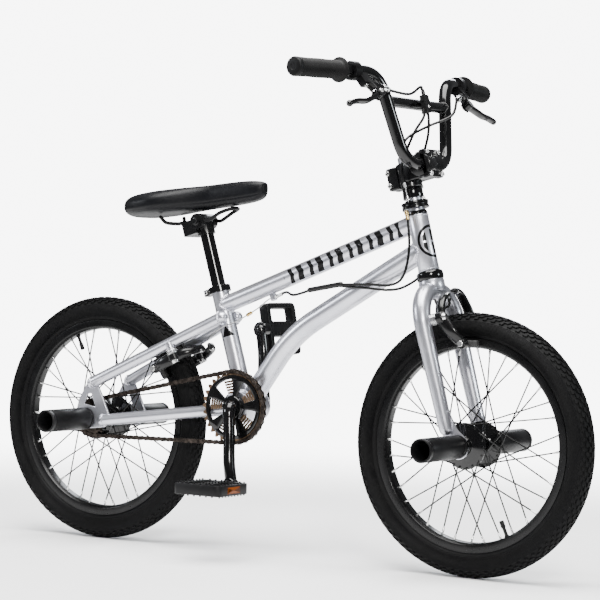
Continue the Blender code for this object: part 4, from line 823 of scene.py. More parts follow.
def makeHandlebar(looks):
    top = rounded([bars["end"], bars["upper"], bars["lower"]], 0.038, 14)
    low = rounded([top[-2], bars["lower"], stemShape["clamp"] + leftWay * 0.030], 0.034, 14)
    half = np.vstack([top[:-1], low[1:]])
    path = np.vstack([half, (half * [1, -1, 1])[::-1]])
    reach = (bars["tieLevel"] - bars["lower"][2]) / (bars["upper"][2] - bars["lower"][2])
    tie = bars["lower"] + (bars["upper"] - bars["lower"]) * reach
    cross = stretchedOut([tie, mirrored(tie, -1)])
    way = unit(bars["upper"] - bars["lower"])
    shapes = [sweep(path, bars["radius"], 40), sweep(cross, bars["tieRadius"], 36)]
    for name, side in sides:
        start = mirrored(tie, side) * [1, 0, 1]
        wall = mirrored(bars["lower"], side), mirrored(way, side), bars["radius"]
        shapes.append(weldBead(start, leftWay * side, bars["tieRadius"] * 0.97, *wall, 0.0014))
    # the knurled band that the stem holds
    shapes.append(knurled(stemShape["clamp"], leftWay, bars["radius"] + 0.0003, -0.029, 0.029, 96))
    piece("handlebarTube", shapes, looks["glossBlack"], "steering", "gloss_black", ["handlebar"])
    length, radius = bars["gripLength"], bars["gripRadius"]
    for name, side in sides:
        axis = mirrored(gripWay, side)
        end = mirrored(bars["end"], side) + axis * 0.003
        profile = [(0.0114, -length), (bars["flange"] - 0.0008, -length), (bars["flange"], -length + 0.0012),
                   (bars["flange"], -length + 0.0030), (bars["flange"] - 0.0010, -length + 0.0040),
                   (radius + 0.0012, -length + 0.0048), (radius - 0.0010, -length + 0.0070)]
        steps = np.linspace(-length + 0.009, -0.012, bars["ribs"] * 6 + 1)
        wave = 0.5 - 0.5 * np.cos(np.linspace(0, bars["ribs"] * tau, len(steps)))
        ribs = radius - 0.0022 + 0.0016 * wave ** 0.6 + 0.0004 * np.cos(np.linspace(-3, 3, len(steps))) ** 2
        profile += list(zip(ribs, steps))
        profile += [(radius - 0.0004, -0.0100), (radius, -0.0085), (radius, -0.0030), (radius - 0.0010, -0.0010),
                    (radius - 0.0030, 0.0), (0.0065, 0.0), (0.0055, -0.0010), (0.0001, -0.0010)]
        piece(name + "Grip", [lathe(profile, end, axis, 48)], looks["grip"], "steering", "grip_rubber",
              [name + "_grip"])


leverShape = dict(clampAt=0.180, out=unit([0.665, 0, -0.747]), radius=0.0052,
                  bends=((0, 0), (0.020, 0.009), (0.046, 0.019), (0.072, 0.021), (0.094, 0.027)))


def leverFrame(side):
    # clamp centre on the bar, the outward way along it, and the way the lever stands off it
    along = mirrored(gripWay, side)
    part = (leverShape["clampAt"] - bars["upper"][1]) / (bars["end"][1] - bars["upper"][1])
    centre = mirrored(bars["upper"] + (bars["end"] - bars["upper"]) * part, side)
    out = unit(leverShape["out"] - along * (leverShape["out"] @ along))
    return centre, along, out


def nozzleWay(side):
    centre, along, out = leverFrame(side)
    return unit(out * 0.012 - along * 0.040)


def nozzleEnd(side):
    centre, along, out = leverFrame(side)
    return centre - along * 0.060 + out * 0.038 + nozzleWay(side) * 0.0020


def makeLevers(looks):
    for name, side in sides:
        centre, along, out = leverFrame(side)
        pin = np.cross(along, out)
        pivot = centre - along * 0.030 + out * 0.050
        eased(name + "_lever_bracket", looks["satinBlack"], "steering", "satin_black", 0.0011)
        end, way = nozzleEnd(side), nozzleWay(side)
        shapes = [knurled(end, way, 0.0062, -0.0120, -0.0040, 28), lathe([(0.0046, -0.0045), (0.0046, 0.0010),
                                                                         (0.0036, 0.0020)], end, way, 24),
                  lathe([(0.0040, -0.0080), (0.0040, -0.0072), (0.0032, -0.0068)], pivot, -pin, 24),
                  capScrew(pivot + pin * 0.0078, pin, 0.0044, 0.0022),
                  capScrew(centre - along * 0.012 + out * 0.0312, out, 0.0036, 0.0030)]
        piece(name + "LeverScrews", shapes, looks["steel"], "steering", "bright_steel")
        path = smoothRoute([pivot + along * a + out * b for a, b in leverShape["bends"]], 12)
        reach = np.linspace(0, 1, len(path))
        radius = leverShape["radius"] * (1.35 - 0.20 * reach)
        flat = 0.95 - 0.33 * np.clip(reach * 3, 0, 1)
        eye = lathe([(0.0080, -0.0055), (0.0088, -0.0047), (0.0088, 0.0047), (0.0080, 0.0055)], pivot, pin, 36)
        ball = lathe([(0.0058 * math.sin(a), -0.0058 * math.cos(a)) for a in np.linspace(0.02, math.pi - 0.02, 13)],
                     path[-1], along, 24)
        piece(name + "LeverBlade", [domed(path, radius, 28, pin, flat), eye, ball], looks["glossBlack"],
              name + "_lever", "gloss_black", [name + "_brake_lever"])


# ---- splitter and cables: housings, ferrules, bare wires
cableShape = dict(radius=0.0024, wire=0.0010, sleeve=0.0046, splitter=np.array([0.2805, 0, 0.8120]),
                  case=(0.012, 0.016, 0.032), join=np.array([0.1310, -0.0260, 0.4940]),
                  sleeveEnd=np.array([0.0690, -0.0240, 0.4826]))


def housing(corners, radius=None):
    return sweep(smoothRoute(corners, 10), radius or cableShape["radius"], 16)


def ferrule(at, way, radius=0.0032, length=0.009):
    return lathe([(radius * 0.82, 0), (radius, 0.0006), (radius, length * 0.7), (radius * 0.84, length * 0.76),
                  (radius * 0.80, length)], np.asarray(at, float), way, 24)


def makeCables(looks):
    black, wire, steel = looks["housing"], looks["wire"], looks["steel"]
    middleCase, (deep, wide, tall) = cableShape["splitter"], cableShape["case"]
    case = [brick(middleCase, (deep, wide, tall), steerForward, steerUp, 0.2),
            brick(middleCase + steerUp * 0.004, (deep * 0.98, wide * 1.0, 0.002), steerForward, steerUp, 0.3)]
    wires = []
    for name, side in sides:
        leg = [np.array([0.2820, side * 0.0045, 0.8000]), np.array([0.2820, side * 0.010, 0.7860]),
               np.array([0.2720, side * 0.026, 0.7560]), onSteerer(0.490, 0.007, side * 0.0325),
               onSteerer(0.455, 0.004, side * 0.029), onSteerer(0.4267, 0.004, side * 0.029)]
        route = smoothRoute(leg, 10)
        case.append(sweep(route[:40], cableShape["radius"], 16))
        case.append(ferrule(leg[0] + steerUp * 0.004, leg[1] - leg[0], 0.0034, 0.010))
        wires.append(sweep(route[36:], cableShape["wire"], 10))
        wires.append(ferrule(route[40], route[38] - route[40], 0.0030, 0.008))
    piece("cableSplitterCase", case, looks["nylon"], "steering", "cable_plastic", ["cable_splitter"])
    piece("gyroWires", wires, wire, "steering", "bright_steel")
    piece("splitterScrew", [capScrew(middleCase + steerForward * deep / 2 - steerForward * 0.001 - steerUp * 0.006,
                                     steerForward, 0.0028, 0.0018)], steel, "steering", "bright_steel")
    top = middleCase + steerUp * (tall / 2 + 0.0012)
    lever = [nozzleEnd(-1), nozzleEnd(-1) + nozzleWay(-1) * 0.012, np.array([0.2900, -0.072, 0.8240]),
             np.array([0.2870, -0.032, 0.8390]), top + steerUp * 0.009 - leftWay * 0.002, top]
    piece("rearBrakeLeverCable", [housing(lever), ferrule(top - steerUp * 0.001, steerUp, 0.0034, 0.010),
                                  ferrule(nozzleEnd(-1) - nozzleWay(-1) * 0.001, nozzleWay(-1), 0.0033, 0.008)],
          black, "steering", "cable_plastic", ["rear_brake_lever_cable"])
    front = [nozzleEnd(1), nozzleEnd(1) + nozzleWay(1) * 0.014, np.array([0.2960, 0.066, 0.7960]),
             np.array([0.2660, 0.038, 0.7760]), np.array([0.2450, 0.012, 0.7580]), onSteerer(0.533, 0.001),
             onSteerer(0.515), onSteerer(0.460), onSteerer(0.400), onSteerer(0.330), onSteerer(0.270),
             onSteerer(0.2490, 0.001), onSteerer(0.2385, 0.010), onSteerer(0.2400, 0.024), onSteerer(0.2520, 0.028)]
    piece("frontBrakeCable", [housing(front), ferrule(front[0] - nozzleWay(1) * 0.001, nozzleWay(1), 0.0033, 0.008),
                              ferrule(front[-1], front[-2] - front[-1], 0.0032, 0.008)],
          black, "steering", "cable_plastic", ["front_brake_cable"])
    join, stop = cableShape["join"], tubes["cableStop"]
    near = [onSteerer(0.4205, -0.004, -0.029), onSteerer(0.400, -0.004, -0.029), np.array([0.2735, -0.0300, 0.5583]),
            np.array([0.2632, -0.0300, 0.5130]), np.array([0.2376, -0.0290, 0.4968]),
            np.array([0.1900, -0.0270, 0.4965]), join]
    far = [onSteerer(0.4205, -0.004, 0.029), onSteerer(0.400, -0.004, 0.029), np.array([0.2760, 0.0300, 0.5583]),
           np.array([0.2680, 0.0270, 0.5180]), np.array([0.2480, 0.0050, 0.4950]),
           np.array([0.2280, -0.0160, 0.4880]), np.array([0.1850, -0.0230, 0.4900]),
           join + np.array([0, 0.001, -0.002])]
    single = [np.array([0.0750, -0.0241, 0.4837]), np.array([0.0292, -0.0120, 0.4725]), stop + topWay * 0.030,
              stop + topWay * 0.0066]
    sleeveFrom = join + np.array([0.004, 0, 0.001])
    radius = cableShape["sleeve"]
    sleeve = domed(stretchedOut([sleeveFrom, cableShape["sleeveEnd"]], 0.004), radius, 24)
    piece("rearBrakeCable", [housing(near), housing(far), housing(single), sleeve], black, "frame", "cable_plastic",
          ["rear_brake_cable"])
    bare = [stop + topWay * 0.012, stop, stop - topWay * 0.012, np.array([-0.0520, -0.0100, 0.4440]),
            np.array([-0.0859, -0.0215, 0.4215]), np.array([-0.1200, -0.0215, 0.4080]),
            np.array([-0.1480, -0.0120, 0.3930]), np.array([-0.1640, -0.0020, 0.3830])]
    route = smoothRoute(bare, 10)
    piece("rearBrakeWire", [sweep(route, 0.0012, 10)], wire, "frame", "bright_steel")
    piece("cableStopAdjuster", [knurled(stop, topWay, 0.0040, 0.0052, 0.0110, 28),
                                lathe([(0.0030, 0.0108), (0.0032, 0.0112), (0.0032, 0.0205), (0.0026, 0.0212)], stop,
                                      topWay, 24)], steel, "frame", "bright_steel")
    link = route[34]
    piece("wireConnector", [lathe([(0.0020, -0.006), (0.0032, -0.0052), (0.0032, 0.0052), (0.0020, 0.006)], link,
                                  route[35] - route[33], 24)], looks["brass"], "frame", "bright_steel")


# ---- brakes: arms on their bosses, pads, anchors and springs
brakes = dict(front=dict(pivot=frontPivot, up=steerUp, out=steerForward, axle=frontAxle, angle=91.5),
              rear=dict(pivot=rearPivot, up=rearBrakeUp, out=rearBrakeOut, axle=rearAxle, angle=35.0),
              padTrack=0.1745, padFace=0.0168, padSize=(0.040, 0.011, 0.011))


def makeBrake(place, looks):
    shape = brakes[place]
    up, out, axle = shape["up"], shape["out"], shape["axle"]
    angle = math.radians(shape["angle"])
    radial = np.array([math.cos(angle), 0, math.sin(angle)])
    tangent = np.array([-math.sin(angle), 0, math.cos(angle)])
    rimPoint = axle + radial * brakes["padTrack"]
    for name, side in sides:
        pivot, body = shape["pivot"](side), f"{place}_{name}_brake_arm"
        across = leftWay * side
        eye = pivot + out * 0.0155
        holder = rimPoint + across * (brakes["padFace"] + 0.024)
        lower = smoothRoute([eye, eye * 0.45 + holder * 0.55 + across * 0.006, holder], 10)
        lift = 0.004 * side
        upper = smoothRoute([eye, eye + up * 0.020 - across * 0.006, eye + up * (0.038 + lift) - across * 0.020,
                             eye + up * (0.044 + lift) - across * 0.036], 10)
        fade = np.linspace(1.25, 0.92, len(upper))
        shapes = [lathe([(0.0104, -0.006), (0.0115, -0.0048), (0.0115, 0.0046), (0.0102, 0.006)], eye, out, 40),
                  domed(lower, 0.0112 * np.linspace(1.1, 0.85, len(lower)), 28, out, 0.5),
                  domed(upper, 0.0080 * fade, 28, out, 0.62),
                  lathe([(0.0078, -0.0065), (0.0086, -0.0055), (0.0086, 0.0055), (0.0078, 0.0065)], holder,
                        across, 32),
                  lathe([(0.0034, 0.009), (0.0034, 0.029)],
                        rimPoint + across * (brakes["padFace"] - 0.001), across, 20)]
        piece(f"{place}Brake{name.title()}Arm", shapes, looks["alloyBlack"], body, "gloss_black",
              [f"{place}_brake_{name}_arm"])
        back = rimPoint + across * (brakes["padFace"] + 0.0055)
        long, wide, tall = brakes["padSize"]
        pad = [brick(back, (long, wide, tall), tangent, radial, 0.2)]
        pad += [brick(back + tangent * step - across * 0.0001, (0.0016, wide + 0.0004, tall * 1.03), tangent, radial)
                for step in (-0.012, 0.0, 0.012)]
        piece(f"{place}Brake{name.title()}Pad", pad, looks["pad"], body, "tyre_rubber")
        steel = [hexNut(holder + across * 0.0060, across, 0.0058, 0.0045),
                 lathe([(0.0062, 0.0110), (0.0080, 0.0062), (0.0080, 0.0056)][::-1], eye, out, 28),
                 capScrew(eye + out * 0.0062, out, 0.0048, 0.0042),
                 capScrew(upper[-4] + out * 0.0030, out, 0.0042, 0.0040),
                 lathe([(0.0052, 0.0), (0.0052, 0.0012)], upper[-4] + out * 0.0026, out, 24)]
        # the return spring: three turns round the boss and one leg up the arm
        turn = np.linspace(0, 3.4 * tau, 90)
        first, second, axis = basis(out)
        coil = (pivot + (np.cos(turn)[:, None] * first + np.sin(turn)[:, None] * second) * 0.0098
                + axis * (np.linspace(-0.0010, 0.0085, 90))[:, None])
        steel.append(sweep(np.vstack([coil, coil[-1:] + up * 0.016 - across * 0.006]), 0.0008, 6))
        piece(f"{place}Brake{name.title()}Bolts", steel, looks["steel"], body, "bright_steel")


# ---- wheels
wheels = dict(radius=0.2275, section=0.0235, rimInner=0.1668, rimHalf=0.014, spokes=36, flange=0.040,
              flangeAt=0.030, lean=62, spokeRadius=0.0013, pitches=84, valveAt=dict(front=295, rear=115),
              blockRows=((7, 6.5, 0.60, 0.0, 0.10), (22, 6.0, 0.56, 0.5, 0.16), (37, 6.0, 0.52, 0.0, 0.22),
                         (51, 5.0, 0.42, 0.5, 0.10)))


def tyreShapes(axle):
    # the casing is a horseshoe section turned about the axle, ribbed on the walls and full at the bead
    centre, section = wheels["radius"] - wheels["section"], wheels["section"]
    turn = np.radians(np.linspace(-152, 152, 121))
    steep = np.degrees(np.abs(turn))
    wall = np.clip((steep - 60) / 6, 0, 1)
    bead = np.clip((steep - 126) / 8, 0, 1)
    outer = section - 0.0024 + 0.0010 * wall + 0.0014 * bead + 0.00045 * wall * (1 - bead) * np.sin(steep * 1.25)
    bore = np.radians(np.linspace(152, -152, 25))
    rows = np.vstack([np.column_stack([centre + outer * np.cos(turn), outer * np.sin(turn)]),
                      np.column_stack([centre + (section - 0.0045) * np.cos(bore),
                                       (section - 0.0045) * 0.97 * np.sin(bore)])])
    shapes = [lathe(rows, axle, leftWay, 180, True)]
    # tread: small six-sided blocks in rows, skewed along the tyre, with their tops a little smaller
    pitch = tau / wheels["pitches"]
    for at, half, share, shift, skew in wheels["blockRows"]:
        for hand in (-1, 1):
            start = (np.arange(wheels["pitches"]) + shift + (0.25 if hand > 0 else 0)) * pitch
            corner = np.array([(-1, -1), (1, -1), (1, 1), (-1, 1)])
            layers = []
            for depth, shrink in ((section - 0.0040, 1.0), (section - 0.0006, 1.0), (section - 0.00005, 0.86)):
                tilt = np.radians(hand * (at + corner[:, 1] * half * shrink))
                along = start[:, None] + (corner[:, 0] * share * shrink + corner[:, 1] * skew) * pitch / 2
                reach = centre + depth * np.cos(tilt)
                layers.append(np.stack([reach * np.cos(along), np.broadcast_to(depth * np.sin(tilt), along.shape),
                                        reach * np.sin(along)], -1))
            points = axle + np.stack(layers, 1).reshape(-1, 3)
            sideFaces = [(r * 4 + c, r * 4 + (c + 1) % 4, r * 4 + 4 + (c + 1) % 4, r * 4 + 4 + c)
                         for r in range(2) for c in range(4)]
            cell = np.array(sideFaces + [(3, 2, 1, 0), (8, 9, 10, 11)])
            faces = (np.arange(len(start))[:, None, None] * 12 + cell).reshape(-1, 4)
            shapes.append((points, faces.tolist()))
    return shapes


def makeWheel(name, axle, half, looks):
    w = wheels
    body = name + "_wheel"
    piece(name + "Tyre", tyreShapes(axle), looks["tyre"], body, "tyre_rubber", [name + "_tyre"], 35)
    top, wide, low = w["radius"] - 2 * w["section"] + 0.0035, w["rimHalf"], w["rimInner"]
    section = [(low, -wide * 0.55), (low + 0.004, -wide), (top, -wide), (top - 0.0004, -wide + 0.0018),
               (low + 0.007, -wide + 0.004), (low + 0.007, wide - 0.004), (top - 0.0004, wide - 0.0018), (top, wide),
               (low + 0.004, wide), (low, wide * 0.55)]
    rim = [lathe(softened(section, 0.0016, 3), axle, leftWay, 180, True)]
    piece(name + "Rim", rim, looks["rimBlack"], body, "gloss_black", [name + "_rim"], 35)
    end, at, flange = half - 0.0100, w["flangeAt"], w["flange"]
    outline = [(0.0073, -end), (0.0150, -end), (0.0160, -end + 0.001), (0.0165, -at - 0.0055), (0.0200, -at - 0.0032),
               (flange - 0.0012, -at - 0.0020), (flange, -at - 0.0012), (flange, -at + 0.0012),
               (flange - 0.0012, -at + 0.0020), (0.0250, -at + 0.0030), (0.0196, -at + 0.0075), (0.0186, -0.012),
               (0.0180, 0.0)]
    outline += [(r, -y) for r, y in outline[-2::-1]]
    shell = [lathe(outline, axle, leftWay, 84, True)]
    spokes, heads, nipples = [], [], []
    for index in range(w["spokes"]):
        side = 1 if index % 2 else -1
        leaning = 1 if (index // 2) % 2 else -1
        rimTurn = tau * index / w["spokes"]
        hubTurn = rimTurn + leaning * math.radians(w["lean"])
        out = np.array([math.cos(rimTurn), 0, math.sin(rimTurn)])
        start = axle + np.array([math.cos(hubTurn), 0, math.sin(hubTurn)]) * (flange - 0.0035)
        start = start + leftWay * side * (at + leaning * 0.0026)
        finish = axle + out * (low - 0.0005) + leftWay * side * 0.004
        way = unit(finish - start)
        elbow = start - leftWay * side * leaning * 0.0052
        path = np.vstack([[elbow, start - leftWay * side * leaning * 0.0008], stretchedOut([start + way * 0.0012,
                                                                                           finish], 0.06)])
        spokes.append(sweep(path, w["spokeRadius"], 8))
        heads.append(lathe([(0.0019, -0.0002), (0.0021, 0.0004), (0.0012, 0.0011)],
                           elbow, -leftWay * side * leaning, 10))
        nipples.append(lathe([(0.0021, 0.001), (0.0021, -0.0055), (0.0016, -0.0065), (0.0016, -0.0110),
                              (0.0012, -0.0116)], finish, way, 10))
    piece(name + "Hub", shell, looks["glossBlack"], body, "gloss_black", [name + "_hub"])
    piece(name + "Spokes", spokes + heads, looks["spokeBlack"], body, "gloss_black")
    valveTurn = math.radians(w["valveAt"][name])
    valveOut = np.array([math.cos(valveTurn), 0, math.sin(valveTurn)])
    foot = axle + valveOut * (low + 0.002)
    piece(name + "Nipples", nipples, looks["steel"], body, "bright_steel")
    piece(name + "Valve", [lathe([(0.0046, 0), (0.0046, 0.0035), (0.0030, 0.0050), (0.0030, 0.0200)],
                                 foot, -valveOut, 24),
                           knurled(foot, -valveOut, 0.0040, 0.0190, 0.0310, 24)], looks["nylon"], body,
          "cable_plastic")
    pegFrom = half + 0.0056
    axleBody = "steering" if name == "front" else "frame"
    shaft = [lathe([(0.0062, -(pegFrom + 0.024)), (0.0070, -(pegFrom + 0.0228)), (0.0070, pegFrom + 0.0228),
                    (0.0062, pegFrom + 0.024)], axle, leftWay, 40)]
    pegs = 0.0205
    for word, side in sides:
        out = leftWay * side
        shaft.append(lathe([(0.0110, half - 0.0097), (0.0120, half - 0.0090), (0.0120, half - 0.0003)], axle, out, 40))
        shaft.append(hexNut(axle + out * (pegFrom + 0.0066), out, 0.0125, 0.011))
        length = 0.182 - pegFrom
        outline = [(0.0073, 0), (pegs - 0.0006, 0), (pegs, 0.0008), (pegs, 0.0060), (pegs - 0.0005, 0.0068),
                   (pegs - 0.0005, 0.0082), (pegs, 0.0090), (pegs, length - 0.0110), (pegs - 0.0006, length - 0.0100),
                   (pegs - 0.0006, length - 0.0082), (pegs, length - 0.0074), (pegs, length - 0.0012),
                   (pegs - 0.0012, length), (pegs - 0.0028, length), (pegs - 0.0036, length - 0.0010),
                   (pegs - 0.0036, 0.0065), (0.0073, 0.0060)]
        piece(f"{word}{name.title()}Peg", [lathe(outline, axle + out * pegFrom, out, 64, True)], looks["satinBlack"],
              axleBody, "satin_black", [f"{word}_{name}_peg"])
    piece(name + "Axle", shaft, looks["steel"], axleBody, "bright_steel", [name + "_axle"])


# ---- drive: one-piece crank, sprocket, chain, freewheel
drive = dict(pitch=0.0127, line=-0.042, teeth=32, cogTeeth=16, crank=0.140, lean=11.5, links=74, windows=5,
             windowFrom=0.0215, windowTo=0.0505, windowSpread=24.0)
crankDown = np.array([math.sin(math.radians(drive["lean"])), 0, -math.cos(math.radians(drive["lean"]))])
sprocketRadius = drive["pitch"] / (2 * math.sin(math.pi / drive["teeth"]))
cogRadius = drive["pitch"] / (2 * math.sin(math.pi / drive["cogTeeth"]))
xWay = np.array([1.0, 0, 0])


def crankEnd(side):
    return bracket - crankDown * side * drive["crank"]


def toothOutline(teeth, pitchRadius):
    # a radius that rises and falls once a tooth, with a blunt tip and a round valley
    turn = np.arange(teeth * 12) * tau / (teeth * 12)
    swing = np.cos(turn * teeth)
    radius = pitchRadius - 0.0008 + 0.0033 * np.sign(swing) * np.abs(swing) ** 0.75
    return np.column_stack([np.cos(turn) * radius, np.sin(turn) * radius])


def circle(radius, count=96):
    turn = np.arange(count) * tau / count
    return np.column_stack([np.cos(turn) * radius, np.sin(turn) * radius])


def sector(inner, outer, at, spread, count=12):
    # part of a ring, seen flat, with softened corners
    turn = np.radians(np.linspace(at - spread, at + spread, count))
    out = np.column_stack([np.cos(turn), np.sin(turn)])
    corners = np.vstack([out * outer, (out * inner)[::-1]])
    return softened(corners, 0.0025, 3)


def chainLoop():
    # two arcs round the toothed wheels, joined by the straight runs that touch them both
    apart = bracket - rearAxle
    rise = math.atan2(apart[2], apart[0])
    opening = math.asin((sprocketRadius - cogRadius) / np.linalg.norm(apart))
    first = np.linspace(rise - math.pi / 2 - opening, rise + math.pi / 2 + opening, 80)
    second = np.linspace(rise + math.pi / 2 + opening, rise + 3 * math.pi / 2 - opening, 60)
    front = bracket + sprocketRadius * np.column_stack([np.cos(first), 0 * first, np.sin(first)])
    back = rearAxle + cogRadius * np.column_stack([np.cos(second), 0 * second, np.sin(second)])
    loop = np.vstack([front, back, front[:1]])
    length = np.concatenate([[0], np.cumsum(np.linalg.norm(np.diff(loop, axis=0), axis=1))])
    at = np.arange(drive["links"]) * length[-1] / drive["links"]
    return np.column_stack([np.interp(at, length, loop[:, axis]) for axis in range(3)]) + leftWay * drive["line"]


def linkPlate(first, second, at, thick, radius, waist):
    # a figure of eight round two pins: its half height narrows to a waist in between
    way = unit(second - first)
    over = np.cross(way, leftWay)
    gap = np.linalg.norm(second - first)
    turn = np.radians(np.array([90, 126, 162, 198, 234, 270]))
    left = np.column_stack([np.cos(turn) * radius, np.sin(turn) * radius])
    right = left * [-1, -1] + [gap, 0]
    outline = np.vstack([left, [(gap / 2, -waist)], right, [(gap / 2, waist)]])
    ring = first + outline[:, :1] * way + outline[:, 1:] * over
    return skin(np.array([ring + leftWay * (at - thick / 2), ring + leftWay * (at + thick / 2)]))


def makeChain(looks):
    pins = chainLoop()
    shapes = []
    for index, pin in enumerate(pins):
        after = pins[(index + 1) % len(pins)]
        offset = 0.0034 if index % 2 else 0.0024
        for side in (-1, 1):
            shapes.append(linkPlate(pin, after, side * offset, 0.0009, 0.0042, 0.0030))
        shapes.append(lathe([(0.0012, -0.0043), (0.0016, -0.0041), (0.0016, 0.0041), (0.0012, 0.0043)],
                            pin, leftWay, 8))
        shapes.append(lathe([(0.0038, -0.0018), (0.0038, 0.0018)], pin, leftWay, 10))
    piece("chainLinks", shapes, looks["chain"], "frame", "chain_steel", ["chain"], 35)


def makeDrive(looks):
    hub = bracket + leftWay * drive["line"]
    ring = stencil([toothOutline(drive["teeth"], sprocketRadius), circle(0.0565)], 0.0024, 0.0003, hub, xWay, upWay)
    piece("sprocketRing", [ring], looks["bronze"], "crank", "bronze_plate", ["sprocket"], 35)
    step = 360 / drive["windows"]
    start = 90 - drive["lean"] + 36
    places = [start + step * index for index in range(drive["windows"])]
    windows = [sector(drive["windowFrom"], drive["windowTo"], at, drive["windowSpread"]) for at in places]
    spider = stencil([circle(0.0580), *windows, circle(0.0122, 48)], 0.0046, 0.0006,
                     hub - leftWay * 0.0022, xWay, upWay)
    boss = lathe([(0.0122, -0.0060), (0.0190, -0.0060), (0.0200, -0.0050), (0.0200, 0.0030), (0.0122, 0.0030)], hub,
                 leftWay, 56, True)
    piece("sprocketSpider", [spider, boss], looks["glossBlack"], "crank", "gloss_black")
    slats = []
    for at in places:
        for part in range(5):
            reach = drive["windowFrom"] + 0.0040 + part * 0.0050
            turn = math.radians(at - drive["windowSpread"] * 0.5)
            out = xWay * math.cos(turn) + upWay * math.sin(turn)
            along = np.cross(leftWay, out)
            wide = 2 * reach * math.sin(math.radians(drive["windowSpread"] * 0.5)) + 0.003
            slats.append(brick(hub - leftWay * 0.0008 + out * (reach + 0.0012), (wide, 0.0014, 0.0040), along, out))
    piece("sprocketSlats", slats, looks["bronze"], "crank", "bronze_plate")
    arms = [lathe([(0.0110, -0.0600), (0.0118, -0.0590), (0.0118, 0.0590), (0.0110, 0.0600)], bracket, leftWay, 48)]
    for name, side in sides:
        end = crankEnd(side)
        bends = ((0, 0.038), (0, 0.050), (0.06, 0.0585), (0.20, 0.0635), (0.35, 0.068), (0.70, 0.080), (1, 0.0825))
        route = smoothRoute([bracket + (end - bracket) * t + leftWay * side * out for t, out in bends], 12)
        size = np.interp(np.linspace(0, 1, len(route)), [0, 0.25, 0.45, 1], [0.0125, 0.0130, 0.0108, 0.0105])
        arms.append(domed(route, size, 40))
        out = leftWay * side
        arms.append(lathe([(0.0135, 0.0780), (0.0145, 0.0790), (0.0145, 0.0930), (0.0135, 0.0940)], end, out, 48))
        steelWasher = lathe([(0.0104, 0.0938), (0.0104, 0.0950), (0.0092, 0.0956)], end, out, 40)
        arms.append(steelWasher)
    piece("crankArms", arms, looks["glossBlack"], "crank", "gloss_black", ["crank"])
    caps = [hexNut(bracket + leftWay * side * 0.0366, leftWay * side, 0.0150, 0.0050) for side in (-1, 1)]
    for name, side in sides:
        face = tubes["shellHalf"] + 0.0003
        cup = [(0.0123, face - 0.010), (0.0250, face - 0.010), (0.0250, face), (0.0277, face), (0.0283, face + 0.0006),
               (0.0283, face + 0.0016), (0.0272, face + 0.0022), (0.0180, face + 0.0022), (0.0123, face + 0.0016)]
        piece(name + "BracketCup", [lathe(cup, bracket, leftWay * side, 72, True)], looks["silver"], "frame",
              "silver_paint", [name + "_bottom_bracket_cup"])
    piece("crankLockNuts", caps, looks["satinBlack"], "crank", "satin_black")
    cog = rearAxle + leftWay * drive["line"]
    wheel = stencil([toothOutline(drive["cogTeeth"], cogRadius), circle(0.0235, 64)], 0.0024, 0.0003, cog, xWay, upWay)
    drum = [(0.0170, -0.0024), (0.0232, -0.0024), (0.0240, -0.0016),
            (0.0240, 0.0046), (0.0232, 0.0052), (0.0170, 0.0052)]
    piece("freewheelCog", [wheel, lathe(drum, cog, leftWay, 64, True)], looks["chain"], "freewheel", "chain_steel",
          ["freewheel"], 35)


pedals = dict(out=0.147, length=0.098, width=0.096, thick=0.0190, windowAt=0.0265, windowLong=0.025,
              windowWide=0.074)


def makePedals(looks):
    for name, side in sides:
        end = crankEnd(side)
        centre = end + leftWay * side * pedals["out"]
        ahead = xWay if side < 0 else crankDown
        up = np.array([-ahead[2], 0, ahead[0]])
        across = np.cross(up, ahead)
        length, width, thick = pedals["length"], pedals["width"], pedals["thick"]
        outer = softened([(-length / 2, -width / 2), (length / 2, -width / 2), (length / 2, width / 2),
                          (-length / 2, width / 2)], 0.012, 6)
        windows = []
        for hand in (-1, 1):
            x, a, b = hand * pedals["windowAt"], pedals["windowLong"] / 2, pedals["windowWide"] / 2
            windows.append(softened([(x - a, -b), (x + a, -b), (x + a, b), (x - a, b)], 0.004, 4))
        shapes = [stencil([outer, *windows], thick, 0.0012, centre, ahead, across)]
        core = lathe([(0.0085, -0.040), (0.0098, -0.036), (0.0098, 0.036), (0.0085, 0.040)], centre, across, 36)
        shapes.append(core)
        pins = []
        for row in (-0.0445, -0.0095, 0.0095, 0.0445):
            for place in np.linspace(-0.038, 0.038, 9):
                if abs(row) < 0.02 and abs(place) > 0.03:
                    continue
                for face in (-1, 1):
                    foot = centre + ahead * row + across * place + up * face * (thick / 2 - 0.001)
                    pins.append(lathe([(0.0019, 0), (0.0016, 0.0030), (0.0011, 0.0034)], foot, up * face, 8))
        for place in (-0.0425, 0.0425):
            for along in np.linspace(-0.032, 0.032, 6):
                for face in (-1, 1):
                    foot = centre + ahead * along + across * place + up * face * (thick / 2 - 0.001)
                    pins.append(lathe([(0.0019, 0), (0.0016, 0.0030), (0.0011, 0.0034)], foot, up * face, 8))
        piece(name + "PedalBody", shapes + pins, looks["nylon"], name + "_pedal", "pedal_plastic", [name + "_pedal"])
        reflectors = [brick(centre + ahead * hand * (length / 2 - 0.0012), (0.0024, 0.040, 0.0120), ahead, up)
                      for hand in (-1, 1)]
        piece(name + "PedalReflectors", reflectors, looks["amber"], name + "_pedal", "pedal_plastic")
        out = leftWay * side
        spindle = [lathe([(0.0062, 0.0948), (0.0062, 0.1040)], end, out, 32),
                   hexNut(end + out * 0.0962, out, 0.0086, 0.0024)]
        piece(name + "PedalSpindle", spindle, looks["steel"], name + "_pedal", "bright_steel")


# ---- saddle, rails, post and clamps
seat = dict(rear=-0.336, nose=-0.046, postRadius=0.0127, railRadius=0.0034)
seatHead = onSeatTube(0.350)


